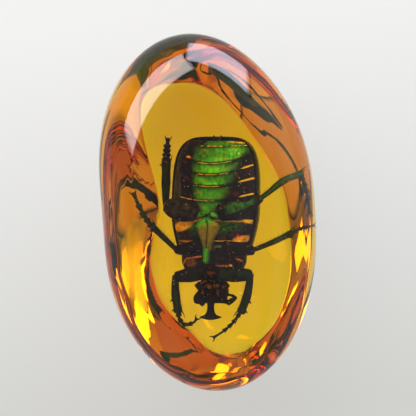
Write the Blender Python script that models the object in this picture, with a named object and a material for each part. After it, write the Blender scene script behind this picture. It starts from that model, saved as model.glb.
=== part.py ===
"""A flower beetle sealed in a clear amber-coloured resin pebble.

The pebble lies on its flat back at z = 0 with its long axis along Y.
The beetle lies belly up inside, head toward -Y, rolled and turned a little.
It has a frame of its own: x across, y toward the tail tip, z toward the belly.
Lengths are written in millimetres and turned into metres by MM.
"""

import math

import bmesh
import bpy
from mathutils import Vector

MM = 0.001

# Pebble: half sizes of the ellipse under the girth, and its heights
HALF_LENGTH = 37.35
HALF_WIDTH = 22.2
GIRTH_HEIGHT = 14.2
PEBBLE_HEIGHT = 26.2
# Slow waves that make the girth slightly squarer and egg shaped
SQUARE_WAVE = -0.0163
SQUARE_TURN = 0.0072
EGG_WAVE = 0.0154
# The egg shape leans to +X, so the outline moves back to stand on its centre
GIRTH_SHIFT = -0.3
# Roundness of the front dome, in plan and in height
DOME_PLAN_POWER = 2.5
DOME_HEIGHT_POWER = 2.2
# Flat back: an oval, a little egg shaped, that leans and bends toward -X at its +Y end
FOOT_HALF_LENGTH = 25.8
FOOT_HALF_WIDTH = 9.4
FOOT_POWER = 2.6
FOOT_EGG = 0.05
FOOT_LEAN = -2.8
FOOT_BEND = -3.0
FOOT_CENTRE = (1.9, -1.0)
# Roundness of the bevel between the flat back and the girth
BEVEL_POWER = 1.12
PEBBLE_COLUMNS = 40
PEBBLE_ROWS = 20
FOOT_ROWS = 2

# Every piece keeps this gap to its neighbour
GAP = 0.3
# The pocket in the resin stands a little further off the beetle
POCKET_GAP = 0.4

# Where the beetle's own frame sits in the pebble
BEETLE_CENTRE = (1.25, 0.0, 12.5)
BEETLE_ROLL = math.radians(-14.0)
BEETLE_TURN = math.radians(-6.7)

# Wing cases
TAIL_Y = 14.7
SHOULDER_Y = -8.3
BODY_HALF_WIDTH = 8.4
SHOULDER_HALF_WIDTH = 6.8
BACK_DEPTH = 5.0
WING_CASE_THICKNESS = 0.8
WING_CASE_RIM = 0.6
WING_CASE_SECTIONS = (14.4, 13.8, 12.7, 10.8, 8.0, 4.0, 0.0, -4.0, -7.0)
WING_CASE_TOP = 3.0
# How far the back comes up toward the shoulder and at the tail tip
SHOULDER_FALL = 0.22
TAIL_CLOSE = 0.3
LEAST_DEPTH = 0.6

# Belly
ABDOMEN_FRONT_Y = 0.45
ABDOMEN_LAST_Y = 12.9
ABDOMEN_TAIL_Y = 13.3
ABDOMEN_HEIGHT = 5.1
# The belly is level up to the first of these places and would close at the second
BELLY_LEVEL_Y = 2.5
BELLY_CLOSE_Y = 14.2
BELLY_SEAMS = (2.0, 4.9, 7.2, 9.4, 12.1)
SEAM_STEP = 0.22
SEAM_BEHIND = 0.18
SEAM_AHEAD = 0.12

# Chest
THORAX_HEIGHTS = ((0.0, 4.7), (-1.0, 5.2), (-3.0, 5.3), (-5.5, 5.0), (-8.2, 4.2))
PROTHORAX_BACK_Y = -8.65
PROTHORAX_FRONT_Y = -13.0
RING_POINTS = 20

# The hollow of the wing cases runs past their open front edge
HOLLOW_OVERRUN = 0.5
# Cutting boxes reach this far, past the whole pebble
REACH = 60

COLLECTION = "beetle in amber"


def material(name, colour, roughness, metallic=0.0, alpha=1.0):
    """A plain Principled material."""
    made = bpy.data.materials.new(name)
    made.use_nodes = True
    shader = made.node_tree.nodes["Principled BSDF"]
    shader.inputs["Base Color"].default_value = (*colour, 1.0)
    shader.inputs["Roughness"].default_value = roughness
    shader.inputs["Metallic"].default_value = metallic
    shader.inputs["Alpha"].default_value = alpha
    return made


def new_object(name, mesh, collection, look=None):
    """Put a mesh in the scene under a name."""
    made = bpy.data.objects.new(name, mesh)
    collection.objects.link(made)
    if look is not None:
        mesh.materials.append(look)
    mesh.shade_smooth()
    mesh.set_sharp_from_angle(angle=math.radians(40))
    return made


def hide_cutter(cutter):
    """Mark an object as a cutting tool that is no part of the model."""
    cutter.hide_render = True
    cutter.display_type = "WIRE"


def boolean(target, cutter, operation, solver="EXACT"):
    """Cut, join or intersect a target with another object."""
    modifier = target.modifiers.new(operation.title(), "BOOLEAN")
    modifier.operation = operation
    modifier.object = cutter
    modifier.solver = solver


def signed_power(value, power):
    """Raise a size to a power and keep its sign."""
    return math.copysign(abs(value) ** power, value)


def girth_point(angle):
    """A point of the pebble's widest outline, by its angle from +X."""
    long_part = HALF_WIDTH * math.sin(angle)
    cross_part = HALF_LENGTH * math.cos(angle)
    radius = HALF_LENGTH * HALF_WIDTH / math.hypot(long_part, cross_part)
    waves = SQUARE_WAVE * math.cos(4 * angle) + SQUARE_TURN * math.sin(4 * angle)
    radius *= 1 + waves + EGG_WAVE * math.cos(3 * angle)
    return Vector((radius * math.cos(angle) + GIRTH_SHIFT, radius * math.sin(angle)))


def foot_point(angle):
    """A point of the flat back's outline, by its angle from +X."""
    along = abs(math.sin(angle) / FOOT_HALF_LENGTH) ** FOOT_POWER
    across = abs(math.cos(angle) / FOOT_HALF_WIDTH) ** FOOT_POWER
    radius = (along + across) ** (-1 / FOOT_POWER)
    share = radius * math.sin(angle) / FOOT_HALF_LENGTH
    sideways = radius * math.cos(angle) * (1 + FOOT_EGG * share)
    sideways += FOOT_LEAN * share + FOOT_BEND * share**2
    return Vector((sideways, radius * math.sin(angle))) + Vector(FOOT_CENTRE)


def pebble_point(angle, latitude):
    """Map a direction of a unit sphere to the pebble's surface."""
    girth = girth_point(angle)
    if latitude >= 0:
        plan = math.cos(latitude) ** (2 / DOME_PLAN_POWER)
        rise = math.sin(latitude) ** (2 / DOME_HEIGHT_POWER)
        flat = girth * plan
        height = GIRTH_HEIGHT + (PEBBLE_HEIGHT - GIRTH_HEIGHT) * rise
        return Vector((flat.x, flat.y, height)) * MM
    foot = foot_point(angle)
    foot_latitude = math.pi / 2 * (1 - 2 * FOOT_ROWS / PEBBLE_ROWS)
    if latitude < -foot_latitude - 1e-4:
        share = (math.pi / 2 + latitude) / (math.pi / 2 - foot_latitude)
        centre = Vector(FOOT_CENTRE)
        flat = centre + (foot - centre) * share
        return Vector((flat.x, flat.y, 0)) * MM
    bevel = math.pi / 2 * (1 + latitude / foot_latitude)
    bevel = min(max(bevel, 0.0), math.pi / 2)
    share = math.sin(bevel) ** (2 / BEVEL_POWER)
    height = GIRTH_HEIGHT * (1 - math.cos(bevel) ** (2 / BEVEL_POWER))
    flat = foot + (girth - foot) * share
    return Vector((flat.x, flat.y, height)) * MM


def pebble_mesh(name):
    """The whole pebble, from a sphere whose points move to its surface."""
    form = bmesh.new()
    bmesh.ops.create_uvsphere(
        form, u_segments=PEBBLE_COLUMNS, v_segments=PEBBLE_ROWS, radius=1.0
    )
    for vertex in form.verts:
        angle = math.atan2(vertex.co.y, vertex.co.x)
        latitude = math.asin(max(-1.0, min(1.0, vertex.co.z)))
        vertex.co = pebble_point(angle, latitude)
    mesh = bpy.data.meshes.new(name)
    form.to_mesh(mesh)
    form.free()
    return mesh


def box(name, low, high, collection):
    """A cutting box between two corners."""
    form = bmesh.new()
    bmesh.ops.create_cube(form, size=1.0)
    low, high = Vector(low), Vector(high)
    for vertex in form.verts:
        vertex.co = Vector(
            (low[i] + (vertex.co[i] + 0.5) * (high[i] - low[i])) * MM for i in range(3)
        )
    mesh = bpy.data.meshes.new(name)
    form.to_mesh(mesh)
    form.free()
    made = bpy.data.objects.new(name, mesh)
    collection.objects.link(made)
    hide_cutter(made)
    return made


def ring(station, points, lift):
    """One cross section: y, half width, belly height, back depth, squareness."""
    y, half_width, height, depth, power = station
    made = []
    for step in range(points):
        angle = 2 * math.pi * step / points
        x = half_width * signed_power(math.cos(angle), 2 / power)
        z = signed_power(math.sin(angle), 2 / power)
        z *= height if z > 0 else depth
        made.append(Vector((x, y, z + lift)) * MM)
    return made


def loft(name, stations, collection, grow=0.0, points=RING_POINTS, look=None, lift=0.0):
    """A closed body through a row of unlike cross sections, tail end first."""
    if grow:
        first, last = stations[0], stations[-1]
        wide = [(y, w + grow, h + grow, d + grow, p) for y, w, h, d, p in stations]
        wide[0] = (first[0] + grow, *wide[0][1:])
        wide[-1] = (last[0] - grow, *wide[-1][1:])
        stations = wide
    form = bmesh.new()
    rings = [[form.verts.new(p) for p in ring(s, points, lift)] for s in stations]
    for near, far in zip(rings, rings[1:]):
        for step in range(points):
            after = (step + 1) % points
            form.faces.new((near[step], near[after], far[after], far[step]))
    form.faces.new(reversed(rings[0]))
    form.faces.new(rings[-1])
    bmesh.ops.recalc_face_normals(form, faces=form.faces)
    mesh = bpy.data.meshes.new(name)
    form.to_mesh(mesh)
    form.free()
    return new_object(name, mesh, collection, look)


def tube(name, route, collection, grow=0.0):
    """A round limb along a route of (x, y, z, radius) points, as a mesh."""
    curve = bpy.data.curves.new(name, "CURVE")
    curve.dimensions = "3D"
    curve.bevel_depth = MM
    curve.bevel_resolution = 2
    curve.use_fill_caps = True
    line = curve.splines.new("POLY")
    line.points.add(len(route) - 1)
    start = Vector(route[0][:3])
    end = Vector(route[-1][:3])
    start += (start - Vector(route[1][:3])).normalized() * grow
    end += (end - Vector(route[-2][:3])).normalized() * grow
    for index, (point, place) in enumerate(zip(line.points, route)):
        where = Vector(place[:3])
        if index == 0:
            where = start
        if index == len(route) - 1:
            where = end
        point.co = (*(where * MM), 1.0)
        point.radius = place[3] + grow
    guide = bpy.data.objects.new(name, curve)
    collection.objects.link(guide)
    mesh = bpy.data.meshes.new_from_object(
        guide.evaluated_get(bpy.context.evaluated_depsgraph_get())
    )
    form = bmesh.new()
    form.from_mesh(mesh)
    bmesh.ops.remove_doubles(form, verts=form.verts, dist=1e-6)
    bmesh.ops.recalc_face_normals(form, faces=form.faces)
    form.to_mesh(mesh)
    form.free()
    matrix = guide.matrix_world.copy()
    bpy.data.objects.remove(guide)
    made = bpy.data.objects.new(name, mesh)
    made.matrix_world = matrix
    collection.objects.link(made)
    return made


def wing_case_half_width(y):
    """Half width of the wing cases along the body."""
    if y > 0:
        return BODY_HALF_WIDTH * (1 - (y / TAIL_Y) ** 4) ** 0.25
    return BODY_HALF_WIDTH + (SHOULDER_HALF_WIDTH - BODY_HALF_WIDTH) * (y / SHOULDER_Y) ** 1.6


def wing_case_stations(inset, front_y=SHOULDER_Y):
    """Sections of the wing cases, or of the hollow that lies an inset inside."""
    stations = []
    for y in (*WING_CASE_SECTIONS, front_y):
        close = (1 - (max(y, 0) / TAIL_Y) ** 3) ** 0.5
        fore = 1 - SHOULDER_FALL * min(y / SHOULDER_Y, 1) ** 2 if y < 0 else 1.0
        half_width = wing_case_half_width(y) - inset
        depth = max(BACK_DEPTH * max(close, TAIL_CLOSE) * fore - inset, LEAST_DEPTH)
        stations.append((y - inset if y > 0 else y, half_width, WING_CASE_TOP, depth, 2.4))
    return stations


def room_under_wing_cases(y):
    """Half width and depth left for the body, read between the wing cases' sections."""
    sections = wing_case_stations(WING_CASE_THICKNESS)
    half_width, depth = sections[-1][1], sections[-1][3]
    for back, fore in zip(sections, sections[1:]):
        if y >= fore[0]:
            share = max(0.0, (back[0] - y) / (back[0] - fore[0]))
            half_width = back[1] + (fore[1] - back[1]) * share
            depth = back[3] + (fore[3] - back[3]) * share
            break
    return half_width - GAP, max(depth - GAP, LEAST_DEPTH)


def abdomen_stations():
    """Belly sections, with a step at each seam between the segments."""
    places = [ABDOMEN_FRONT_Y]
    for seam in BELLY_SEAMS:
        places += [seam - SEAM_BEHIND, seam + SEAM_AHEAD]
    places += [ABDOMEN_LAST_Y, ABDOMEN_TAIL_Y]
    stations = []
    for y in reversed(places):
        share = max(0.0, (y - BELLY_LEVEL_Y) / (BELLY_CLOSE_Y - BELLY_LEVEL_Y))
        height = ABDOMEN_HEIGHT * (1 - share**2.6) ** 0.5
        below = min((s - y for s in BELLY_SEAMS if s > y), default=ABDOMEN_TAIL_Y)
        raised = SEAM_STEP if below < SEAM_BEHIND + SEAM_AHEAD else 0.0
        half_width, depth = room_under_wing_cases(y)
        stations.append((y, half_width, height + raised, depth, 2.3))
    return stations


def thorax_stations():
    """Sections of the hind chest under the wing cases."""
    stations = []
    for y, height in THORAX_HEIGHTS:
        half_width, depth = room_under_wing_cases(y)
        stations.append((y, half_width, height, depth, 2.0))
    return stations


# Keel sections stand around this height of the chest
KEEL_LIFT = 4.5
KEEL = (
    (0.1, 0.35, 0.9, 1.5, 2.2),
    (-1.3, 1.5, 1.2, 1.5, 2.2),
    (-2.9, 2.5, 1.4, 1.5, 2.2),
    (-5.0, 1.5, 1.5, 1.5, 2.2),
    (-7.2, 0.85, 1.55, 1.2, 2.2),
    (-8.6, 0.68, 1.45, 0.3, 2.2),
    (-10.0, 0.5, 1.15, 0.2, 2.2),
)

PROTHORAX = (
    (PROTHORAX_BACK_Y, 6.3, 3.7, 3.9, 2.3),
    (-10.0, 6.1, 3.9, 3.8, 2.3),
    (-11.5, 5.5, 3.7, 3.5, 2.3),
    (PROTHORAX_FRONT_Y, 4.3, 2.9, 2.8, 2.3),
)

HEAD = (
    (-13.4, 2.1, 2.1, 1.5, 2.2),
    (-14.4, 2.8, 2.6, 1.8, 2.4),
    (-15.8, 3.0, 2.8, 1.6, 2.6),
    (-17.2, 2.7, 2.5, 1.0, 2.8),
    (-18.1, 2.3, 2.1, 0.4, 3.0),
)
EYE_CENTRE = (2.75, -14.7, 1.0)
EYE_RADIUS = 0.95

# Right half of the horn's outline, from its root to the middle of its front edge
HORN_OUTLINE = (
    (0.62, -17.3),
    (0.50, -18.9),
    (0.72, -19.7),
    (1.25, -20.3),
    (2.15, -20.75),
    (1.60, -21.1),
    (0.80, -21.3),
)
HORN_HEIGHT = 1.9
HORN_HALF_THICKNESS = 0.55
# A grown outline steps this much further out at its corners
CORNER_REACH = 1.2

# Each limb is a row of spans (thigh, shin, foot) of x, y, z and radius, in the
# pebble's own frame. The first point of each thigh lies inside the body.
LEGS = {
    "leg_hind_left": (
        ((-2.7, 0.3, 16.4, 1.5), (-4.5, 0.7, 16.0, 1.9), (-6.5, 1.6, 15.2, 1.6), (-7.9, 2.4, 14.5, 0.9)),
        ((-7.9, 2.2, 14.4, 0.6), (-7.5, 6.0, 14.1, 0.75), (-7.0, 10.7, 13.8, 0.8)),
        ((-7.1, 10.2, 13.8, 0.4), (-6.8, 12.0, 13.7, 0.36), (-6.5, 13.7, 13.6, 0.32), (-6.2, 15.1, 13.5, 0.25)),
    ),
    "leg_hind_right": (
        ((2.3, -0.4, 15.9, 1.4), (4.9, 0.1, 15.6, 1.7), (7.7, 0.9, 15.0, 1.3), (10.0, 1.7, 14.5, 0.6)),
        ((9.7, 1.5, 14.4, 0.5), (11.5, 2.7, 14.1, 0.5), (14.3, 4.7, 13.9, 0.62), (17.3, 5.7, 13.6, 0.6)),
        ((17.0, 5.6, 13.6, 0.36), (17.6, 3.4, 13.4, 0.33), (17.8, 0.6, 13.3, 0.32), (17.8, -2.4, 13.3, 0.25)),
    ),
    "leg_middle_left": (
        ((-2.5, -6.4, 16.2, 1.1), (-4.7, -6.9, 15.6, 1.25), (-6.9, -6.8, 14.5, 0.75)),
        ((-6.7, -7.0, 14.5, 0.5), (-8.7, -4.4, 13.9, 0.5), (-10.5, -2.0, 13.5, 0.6)),
        ((-10.3, -2.4, 13.5, 0.36), (-11.4, -0.4, 13.3, 0.33), (-12.5, 2.6, 13.2, 0.3), (-13.2, 5.3, 13.1, 0.25)),
    ),
    "leg_middle_right": (
        ((2.3, -7.2, 15.6, 1.1), (4.7, -7.9, 15.0, 1.25), (7.6, -8.5, 14.3, 0.75)),
        ((7.3, -8.5, 14.2, 0.5), (11.0, -7.3, 13.8, 0.5), (14.6, -5.8, 13.5, 0.62)),
        ((14.2, -6.0, 13.5, 0.36), (16.0, -5.1, 13.3, 0.33), (17.2, -4.9, 13.2, 0.3), (18.5, -4.7, 13.1, 0.25)),
    ),
    "leg_front_left": (
        ((-1.9, -11.9, 15.6, 1.0), (-4.5, -12.0, 15.1, 1.2), (-7.3, -12.1, 14.3, 0.85)),
        ((-7.5, -11.9, 14.2, 0.55), (-7.7, -15.4, 13.9, 0.62), (-7.5, -18.8, 13.7, 0.62)),
        (
            (-7.5, -18.4, 13.7, 0.36),
            (-7.4, -20.2, 13.6, 0.33),
            (-6.5, -21.5, 13.6, 0.32),
            (-4.9, -21.3, 13.6, 0.3),
            (-4.2, -20.6, 13.6, 0.25),
        ),
    ),
    "leg_front_right": (
        ((0.9, -12.4, 15.0, 1.0), (3.7, -12.8, 14.7, 1.2), (6.6, -13.2, 14.2, 0.85)),
        ((6.7, -13.0, 14.1, 0.55), (5.6, -17.0, 13.9, 0.62), (4.1, -20.2, 13.7, 0.62)),
        ((4.3, -19.8, 13.7, 0.36), (2.6, -21.9, 13.6, 0.33), (0.7, -23.4, 13.6, 0.3), (-1.5, -24.6, 13.6, 0.25)),
    ),
}

ANTENNAE = {
    "antenna_left": (
        ((-3.2, -16.6, 14.6, 0.3), (-4.6, -17.2, 14.7, 0.28), (-4.9, -17.8, 14.8, 0.28)),
        ((-5.0, -17.6, 14.8, 0.36), (-4.2, -18.3, 14.9, 0.5), (-3.3, -18.7, 15.0, 0.4)),
    ),
    "antenna_right": (
        ((1.6, -16.6, 14.5, 0.3), (3.1, -17.1, 14.7, 0.28), (3.7, -17.6, 14.8, 0.28)),
        ((3.8, -17.5, 14.8, 0.36), (2.8, -18.3, 14.9, 0.5), (1.8, -18.6, 15.0, 0.4)),
    ),
}


def chain(name, spans, parts, cutters, look, grow=0.0):
    """Join a limb's spans into one closed body."""
    made = tube(name, spans[0], parts, grow)
    for index, span in enumerate(spans[1:]):
        piece = tube(f"{name}_span_{index}", span, cutters, grow)
        hide_cutter(piece)
        boolean(made, piece, "UNION")
    if look is not None:
        made.data.materials.append(look)
    made.data.shade_smooth()
    return made


def horn_mesh(name, collection, grow=0.0):
    """The flat flared horn, from its outline."""
    right = [Vector((x, y)) for x, y in HORN_OUTLINE]
    outline = right + [Vector((-p.x, p.y)) for p in reversed(right)]
    curve = bpy.data.curves.new(name, "CURVE")
    curve.dimensions = "2D"
    curve.fill_mode = "BOTH"
    curve.extrude = (HORN_HALF_THICKNESS + grow) * MM
    line = curve.splines.new("POLY")
    line.use_cyclic_u = True
    line.points.add(len(outline) - 1)
    for index, (point, place) in enumerate(zip(line.points, outline)):
        along = outline[(index + 1) % len(outline)] - outline[index - 1]
        away = Vector((-along.y, along.x)).normalized() * grow * CORNER_REACH
        point.co = ((place.x + away.x) * MM, (place.y + away.y) * MM, 0.0, 1.0)
    guide = bpy.data.objects.new(name, curve)
    collection.objects.link(guide)
    mesh = bpy.data.meshes.new_from_object(
        guide.evaluated_get(bpy.context.evaluated_depsgraph_get())
    )
    bpy.data.objects.remove(guide)
    form = bmesh.new()
    form.from_mesh(mesh)
    bmesh.ops.remove_doubles(form, verts=form.verts, dist=1e-6)
    bmesh.ops.recalc_face_normals(form, faces=form.faces)
    bmesh.ops.translate(form, verts=form.verts, vec=(0, 0, HORN_HEIGHT * MM))
    form.to_mesh(mesh)
    form.free()
    made = bpy.data.objects.new(name, mesh)
    collection.objects.link(made)
    return made


def eye(name, side, collection, grow=0.0):
    """One eye, a bead on the side of the head."""
    form = bmesh.new()
    bmesh.ops.create_uvsphere(
        form, u_segments=10, v_segments=8, radius=(EYE_RADIUS + grow) * MM
    )
    mesh = bpy.data.meshes.new(name)
    form.to_mesh(mesh)
    form.free()
    made = bpy.data.objects.new(name, mesh)
    made.location = Vector((side * EYE_CENTRE[0], EYE_CENTRE[1], EYE_CENTRE[2])) * MM
    collection.objects.link(made)
    return made


def head(parts, cutters, frame, look, grow=0.0, name="head"):
    """Head capsule with both eyes and the horn joined on."""
    made = loft(name, HEAD, parts, grow, 16, look)
    made.parent = frame
    pieces = [horn_mesh(f"{name}_horn", cutters, grow)]
    pieces += [eye(f"{name}_eye_{side}", side, cutters, grow) for side in (-1, 1)]
    for piece in pieces:
        piece.parent = frame
        hide_cutter(piece)
        boolean(made, piece, "UNION")
    return made


def thorax(parts, cutters, frame, look, grow=0.0, name="thorax"):
    """Hind chest with the diamond keel and its blunt process joined on."""
    made = loft(name, thorax_stations(), parts, grow, RING_POINTS, look)
    made.parent = frame
    keel = loft(f"{name}_keel", KEEL, cutters, grow, 12, None, KEEL_LIFT)
    keel.parent = frame
    hide_cutter(keel)
    boolean(made, keel, "UNION")
    return made


def wing_case(side_name, side, parts, cutters, frame, look):
    """One wing case: a curved shell over the back, cut along the middle."""
    made = loft(f"elytron_{side_name}", wing_case_stations(0.0), parts, 0.0, 28, look)
    made.parent = frame
    inside = wing_case_stations(WING_CASE_THICKNESS, SHOULDER_Y - HOLLOW_OVERRUN)
    hollow = loft(f"hollow_{side_name}", inside, cutters, 0.0, 28)
    low, high = (-REACH, -REACH, WING_CASE_RIM), (REACH, REACH, REACH)
    belly_side = box(f"belly_side_{side_name}", low, high, cutters)
    low_x, high_x = sorted((-side * REACH, side * GAP / 2))
    low, high = (low_x, -REACH, -REACH), (high_x, REACH, REACH)
    other_side = box(f"other_side_{side_name}", low, high, cutters)
    for cutter in (hollow, belly_side, other_side):
        cutter.parent = frame
        hide_cutter(cutter)
        boolean(made, cutter, "DIFFERENCE")
    return made


def beetle(parts, cutters, looks):
    """All of the beetle's pieces. Returns the cutter bodies of its pocket."""
    frame = bpy.data.objects.new("beetle_frame", None)
    frame.location = Vector(BEETLE_CENTRE) * MM
    frame.rotation_euler = (0.0, BEETLE_ROLL, BEETLE_TURN)
    parts.objects.link(frame)
    bpy.context.view_layer.update()

    shell, skin, limb_look = looks["shell"], looks["belly"], looks["limb"]
    abdomen = loft("abdomen", abdomen_stations(), parts, 0.0, 24, skin)
    abdomen.parent = frame
    thorax(parts, cutters, frame, skin)
    prothorax = loft("prothorax", PROTHORAX, parts, 0.0, RING_POINTS, shell)
    prothorax.parent = frame
    head(parts, cutters, frame, shell)
    for side_name, side in (("left", -1), ("right", 1)):
        wing_case(side_name, side, parts, cutters, frame, shell)

    clear = [
        loft("clear_abdomen", abdomen_stations(), cutters, GAP, 24),
        thorax(cutters, cutters, frame, None, GAP, "clear_thorax"),
        loft("clear_prothorax", PROTHORAX, cutters, GAP),
        head(cutters, cutters, frame, None, GAP, "clear_head"),
        loft("clear_wing_cases", wing_case_stations(-GAP, SHOULDER_Y - GAP), cutters, 0.0, 28),
    ]
    low, high = (-REACH, -REACH, WING_CASE_RIM + GAP), (REACH, REACH, REACH)
    belly_side = box("clear_belly_side", low, high, cutters)
    boolean(clear[-1], belly_side, "DIFFERENCE")
    for body in (clear[0], clear[2], clear[4], belly_side):
        body.parent = frame
    for body in clear:
        hide_cutter(body)
    process_room = loft("process_room", KEEL, cutters, GAP, 12, None, KEEL_LIFT)
    process_room.parent = frame
    hide_cutter(process_room)
    boolean(prothorax, process_room, "DIFFERENCE")

    limbs = {**LEGS, **ANTENNAE}
    pocket = [
        loft("pocket_body", wing_case_stations(-POCKET_GAP, SHOULDER_Y - POCKET_GAP), cutters, 0.0, 16),
        loft("pocket_abdomen", abdomen_stations(), cutters, POCKET_GAP, 16),
        thorax(cutters, cutters, frame, None, POCKET_GAP, "pocket_thorax"),
        loft("pocket_prothorax", PROTHORAX, cutters, POCKET_GAP, 16),
        head(cutters, cutters, frame, None, POCKET_GAP, "pocket_head"),
    ]
    for body in (pocket[0], pocket[1], pocket[3]):
        body.parent = frame
    for name, spans in limbs.items():
        made = chain(name, spans, parts, cutters, limb_look)
        for body in clear:
            boolean(made, body, "DIFFERENCE")
        pocket += [tube(f"pocket_{name}_{i}", s, cutters, POCKET_GAP) for i, s in enumerate(spans)]
    for body in pocket:
        hide_cutter(body)
    return pocket


def resin(parts, cutters, look, pocket):
    """The clear pebble, parted at its girth around the pocket."""
    hollow = pocket[0]
    for body in pocket[1:]:
        boolean(hollow, body, "UNION")
    for name, low, high in (
        ("resin_base", -REACH, GIRTH_HEIGHT - GAP / 2),
        ("resin_dome", GIRTH_HEIGHT + GAP / 2, REACH),
    ):
        half = new_object(name, pebble_mesh(name), parts, look)
        slab = box(f"{name}_slab", (-REACH, -REACH, low), (REACH, REACH, high), cutters)
        boolean(half, slab, "INTERSECT")
        # The pocket's many faces near the parting plane defeat the exact solver
        boolean(half, hollow, "DIFFERENCE", "MANIFOLD")


def main():
    for old in list(bpy.data.objects):
        bpy.data.objects.remove(old)
    parts = bpy.data.collections.new(COLLECTION)
    cutters = bpy.data.collections.new("cutters")
    for collection in (parts, cutters):
        bpy.context.scene.collection.children.link(collection)
    looks = {
        "resin": material("resin", (0.80, 0.42, 0.05), 0.05, 0.0, 0.45),
        "belly": material("belly", (0.05, 0.30, 0.03), 0.28, 0.6),
        "shell": material("shell", (0.035, 0.018, 0.012), 0.3),
        "limb": material("limb", (0.02, 0.03, 0.018), 0.35),
    }
    pocket = beetle(parts, cutters, looks)
    resin(parts, cutters, looks["resin"], pocket)


main()
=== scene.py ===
"""A flower beetle sealed in a clear, amber-coloured pebble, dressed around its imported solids."""

import math
import random

import bmesh
import bpy
from bpy.props import FloatProperty, FloatVectorProperty, IntProperty, PointerProperty
from mathutils import Matrix, Vector, noise


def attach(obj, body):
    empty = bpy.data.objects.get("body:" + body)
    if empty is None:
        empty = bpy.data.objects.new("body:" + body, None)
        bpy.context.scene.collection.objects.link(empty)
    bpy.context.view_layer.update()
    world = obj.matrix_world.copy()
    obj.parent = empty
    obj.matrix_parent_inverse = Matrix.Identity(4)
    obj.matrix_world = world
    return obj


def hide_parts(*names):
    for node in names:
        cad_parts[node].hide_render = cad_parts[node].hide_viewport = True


bl_info = {
    "name": "Beetle in Amber",
    "version": (1, 0, 0),
    "blender": (4, 5, 0),
    "location": "3D View > Sidebar > Amber",
    "description": "Dresses the solids of a beetle sealed in an amber-coloured pebble",
    "category": "Add Mesh",
}

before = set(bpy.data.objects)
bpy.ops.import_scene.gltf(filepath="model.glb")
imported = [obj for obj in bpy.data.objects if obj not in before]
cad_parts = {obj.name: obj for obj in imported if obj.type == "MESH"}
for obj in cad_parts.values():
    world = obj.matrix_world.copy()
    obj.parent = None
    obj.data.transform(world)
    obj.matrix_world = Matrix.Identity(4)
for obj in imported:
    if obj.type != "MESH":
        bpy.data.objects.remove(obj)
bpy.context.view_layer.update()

# Sizes below are in millimetres
MM = 0.001

# The pebble's outline and heights, as its solids have them
HALF_LENGTH = 37.35
HALF_WIDTH = 22.2
GIRTH_HEIGHT = 14.2
PEBBLE_HEIGHT = 26.2
# Slow waves that make the girth slightly squarer and egg shaped, and its shift back to the middle
SQUARE_WAVE = -0.0163
SQUARE_TURN = 0.0072
EGG_WAVE = 0.0154
GIRTH_SHIFT = -0.3
DOME_PLAN_POWER = 2.5
DOME_HEIGHT_POWER = 2.2
# The flat back: an oval that leans and bends to one side toward the beetle's tail
FOOT_HALF_LENGTH = 25.8
FOOT_HALF_WIDTH = 9.4
FOOT_POWER = 2.6
FOOT_EGG = 0.05
FOOT_LEAN = -2.8
FOOT_BEND = -3.0
FOOT_CENTRE = Vector((1.9, -1.0))
# How much the flat back is cut narrower, at which angle, and how far beside it
FOOT_CUT = 0.2
FOOT_CUT_AT = 4.3
FOOT_CUT_REACH = 0.5
# The flat back is worn round toward its edge, most at one place
BACK_ROWS = 25
BACK_WEAR = 1.5
BACK_WEAR_POWER = 4
BACK_WEAR_AT = -1.3
BACK_WEAR_REACH = 0.42
# Roundness of the bevel between the flat back and the girth, and how it changes round the pebble
BEVEL_POWER = 1.19
BEVEL_TILT = 0.12
BEVEL_TILT_AT = -0.527
BEVEL_OVAL = 0.036
BEVEL_OVAL_AT = -0.066
# Swells of the bevel: angle and rise of the middle, reach along both, and height
SWELLS = (
    (4.16, 0.553, 0.615, 0.372, 0.268),
    (1.987, 0.569, 0.507, 0.304, 0.142),
    (0.405, 0.669, 0.532, 0.282, 0.22),
    (-0.413, 0.85, 0.358, 0.126, -0.158),
    (3.905, 1.175, 0.377, 0.292, -0.373),
    (0.0, 0.738, 0.298, 0.208, -0.222),
    (-0.306, 0.6, 0.32, 0.215, 0.027),
)
# How much a swell sinks where it stands out
SWELL_DROP = 0.6
# Fine ripples of the polish: height, and how many there are round the pebble and up the bevel
RIPPLE = 0.008
RIPPLES_ROUND = 9.0
RIPPLES_UP = 14.0

# The beetle's own frame: x across, y toward the tail tip, z toward the belly
BEETLE_CENTRE = Vector((1.25, 0.0, 12.5))
BEETLE_ROLL = math.radians(-14.0)
BEETLE_TURN = math.radians(-6.7)
TAIL_Y = 14.7
SHOULDER_Y = -8.3
TAIL_SQUARENESS = 4
BODY_HALF_WIDTH = 8.4
SHOULDER_HALF_WIDTH = 6.8
SHOULDER_CURVE = 1.6
BACK_DEPTH = 5.0
SHOULDER_FALL = 0.22
# How far the belly and the chest lie inside the wing cases, and their least sizes
BODY_INSET = 0.5
LEAST_HALF_WIDTH = 0.5
LEAST_DEPTH = 0.3
# How much of a table's reading follows a soft curve rather than a straight line
CURVE_SHARE = 0.35

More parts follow.
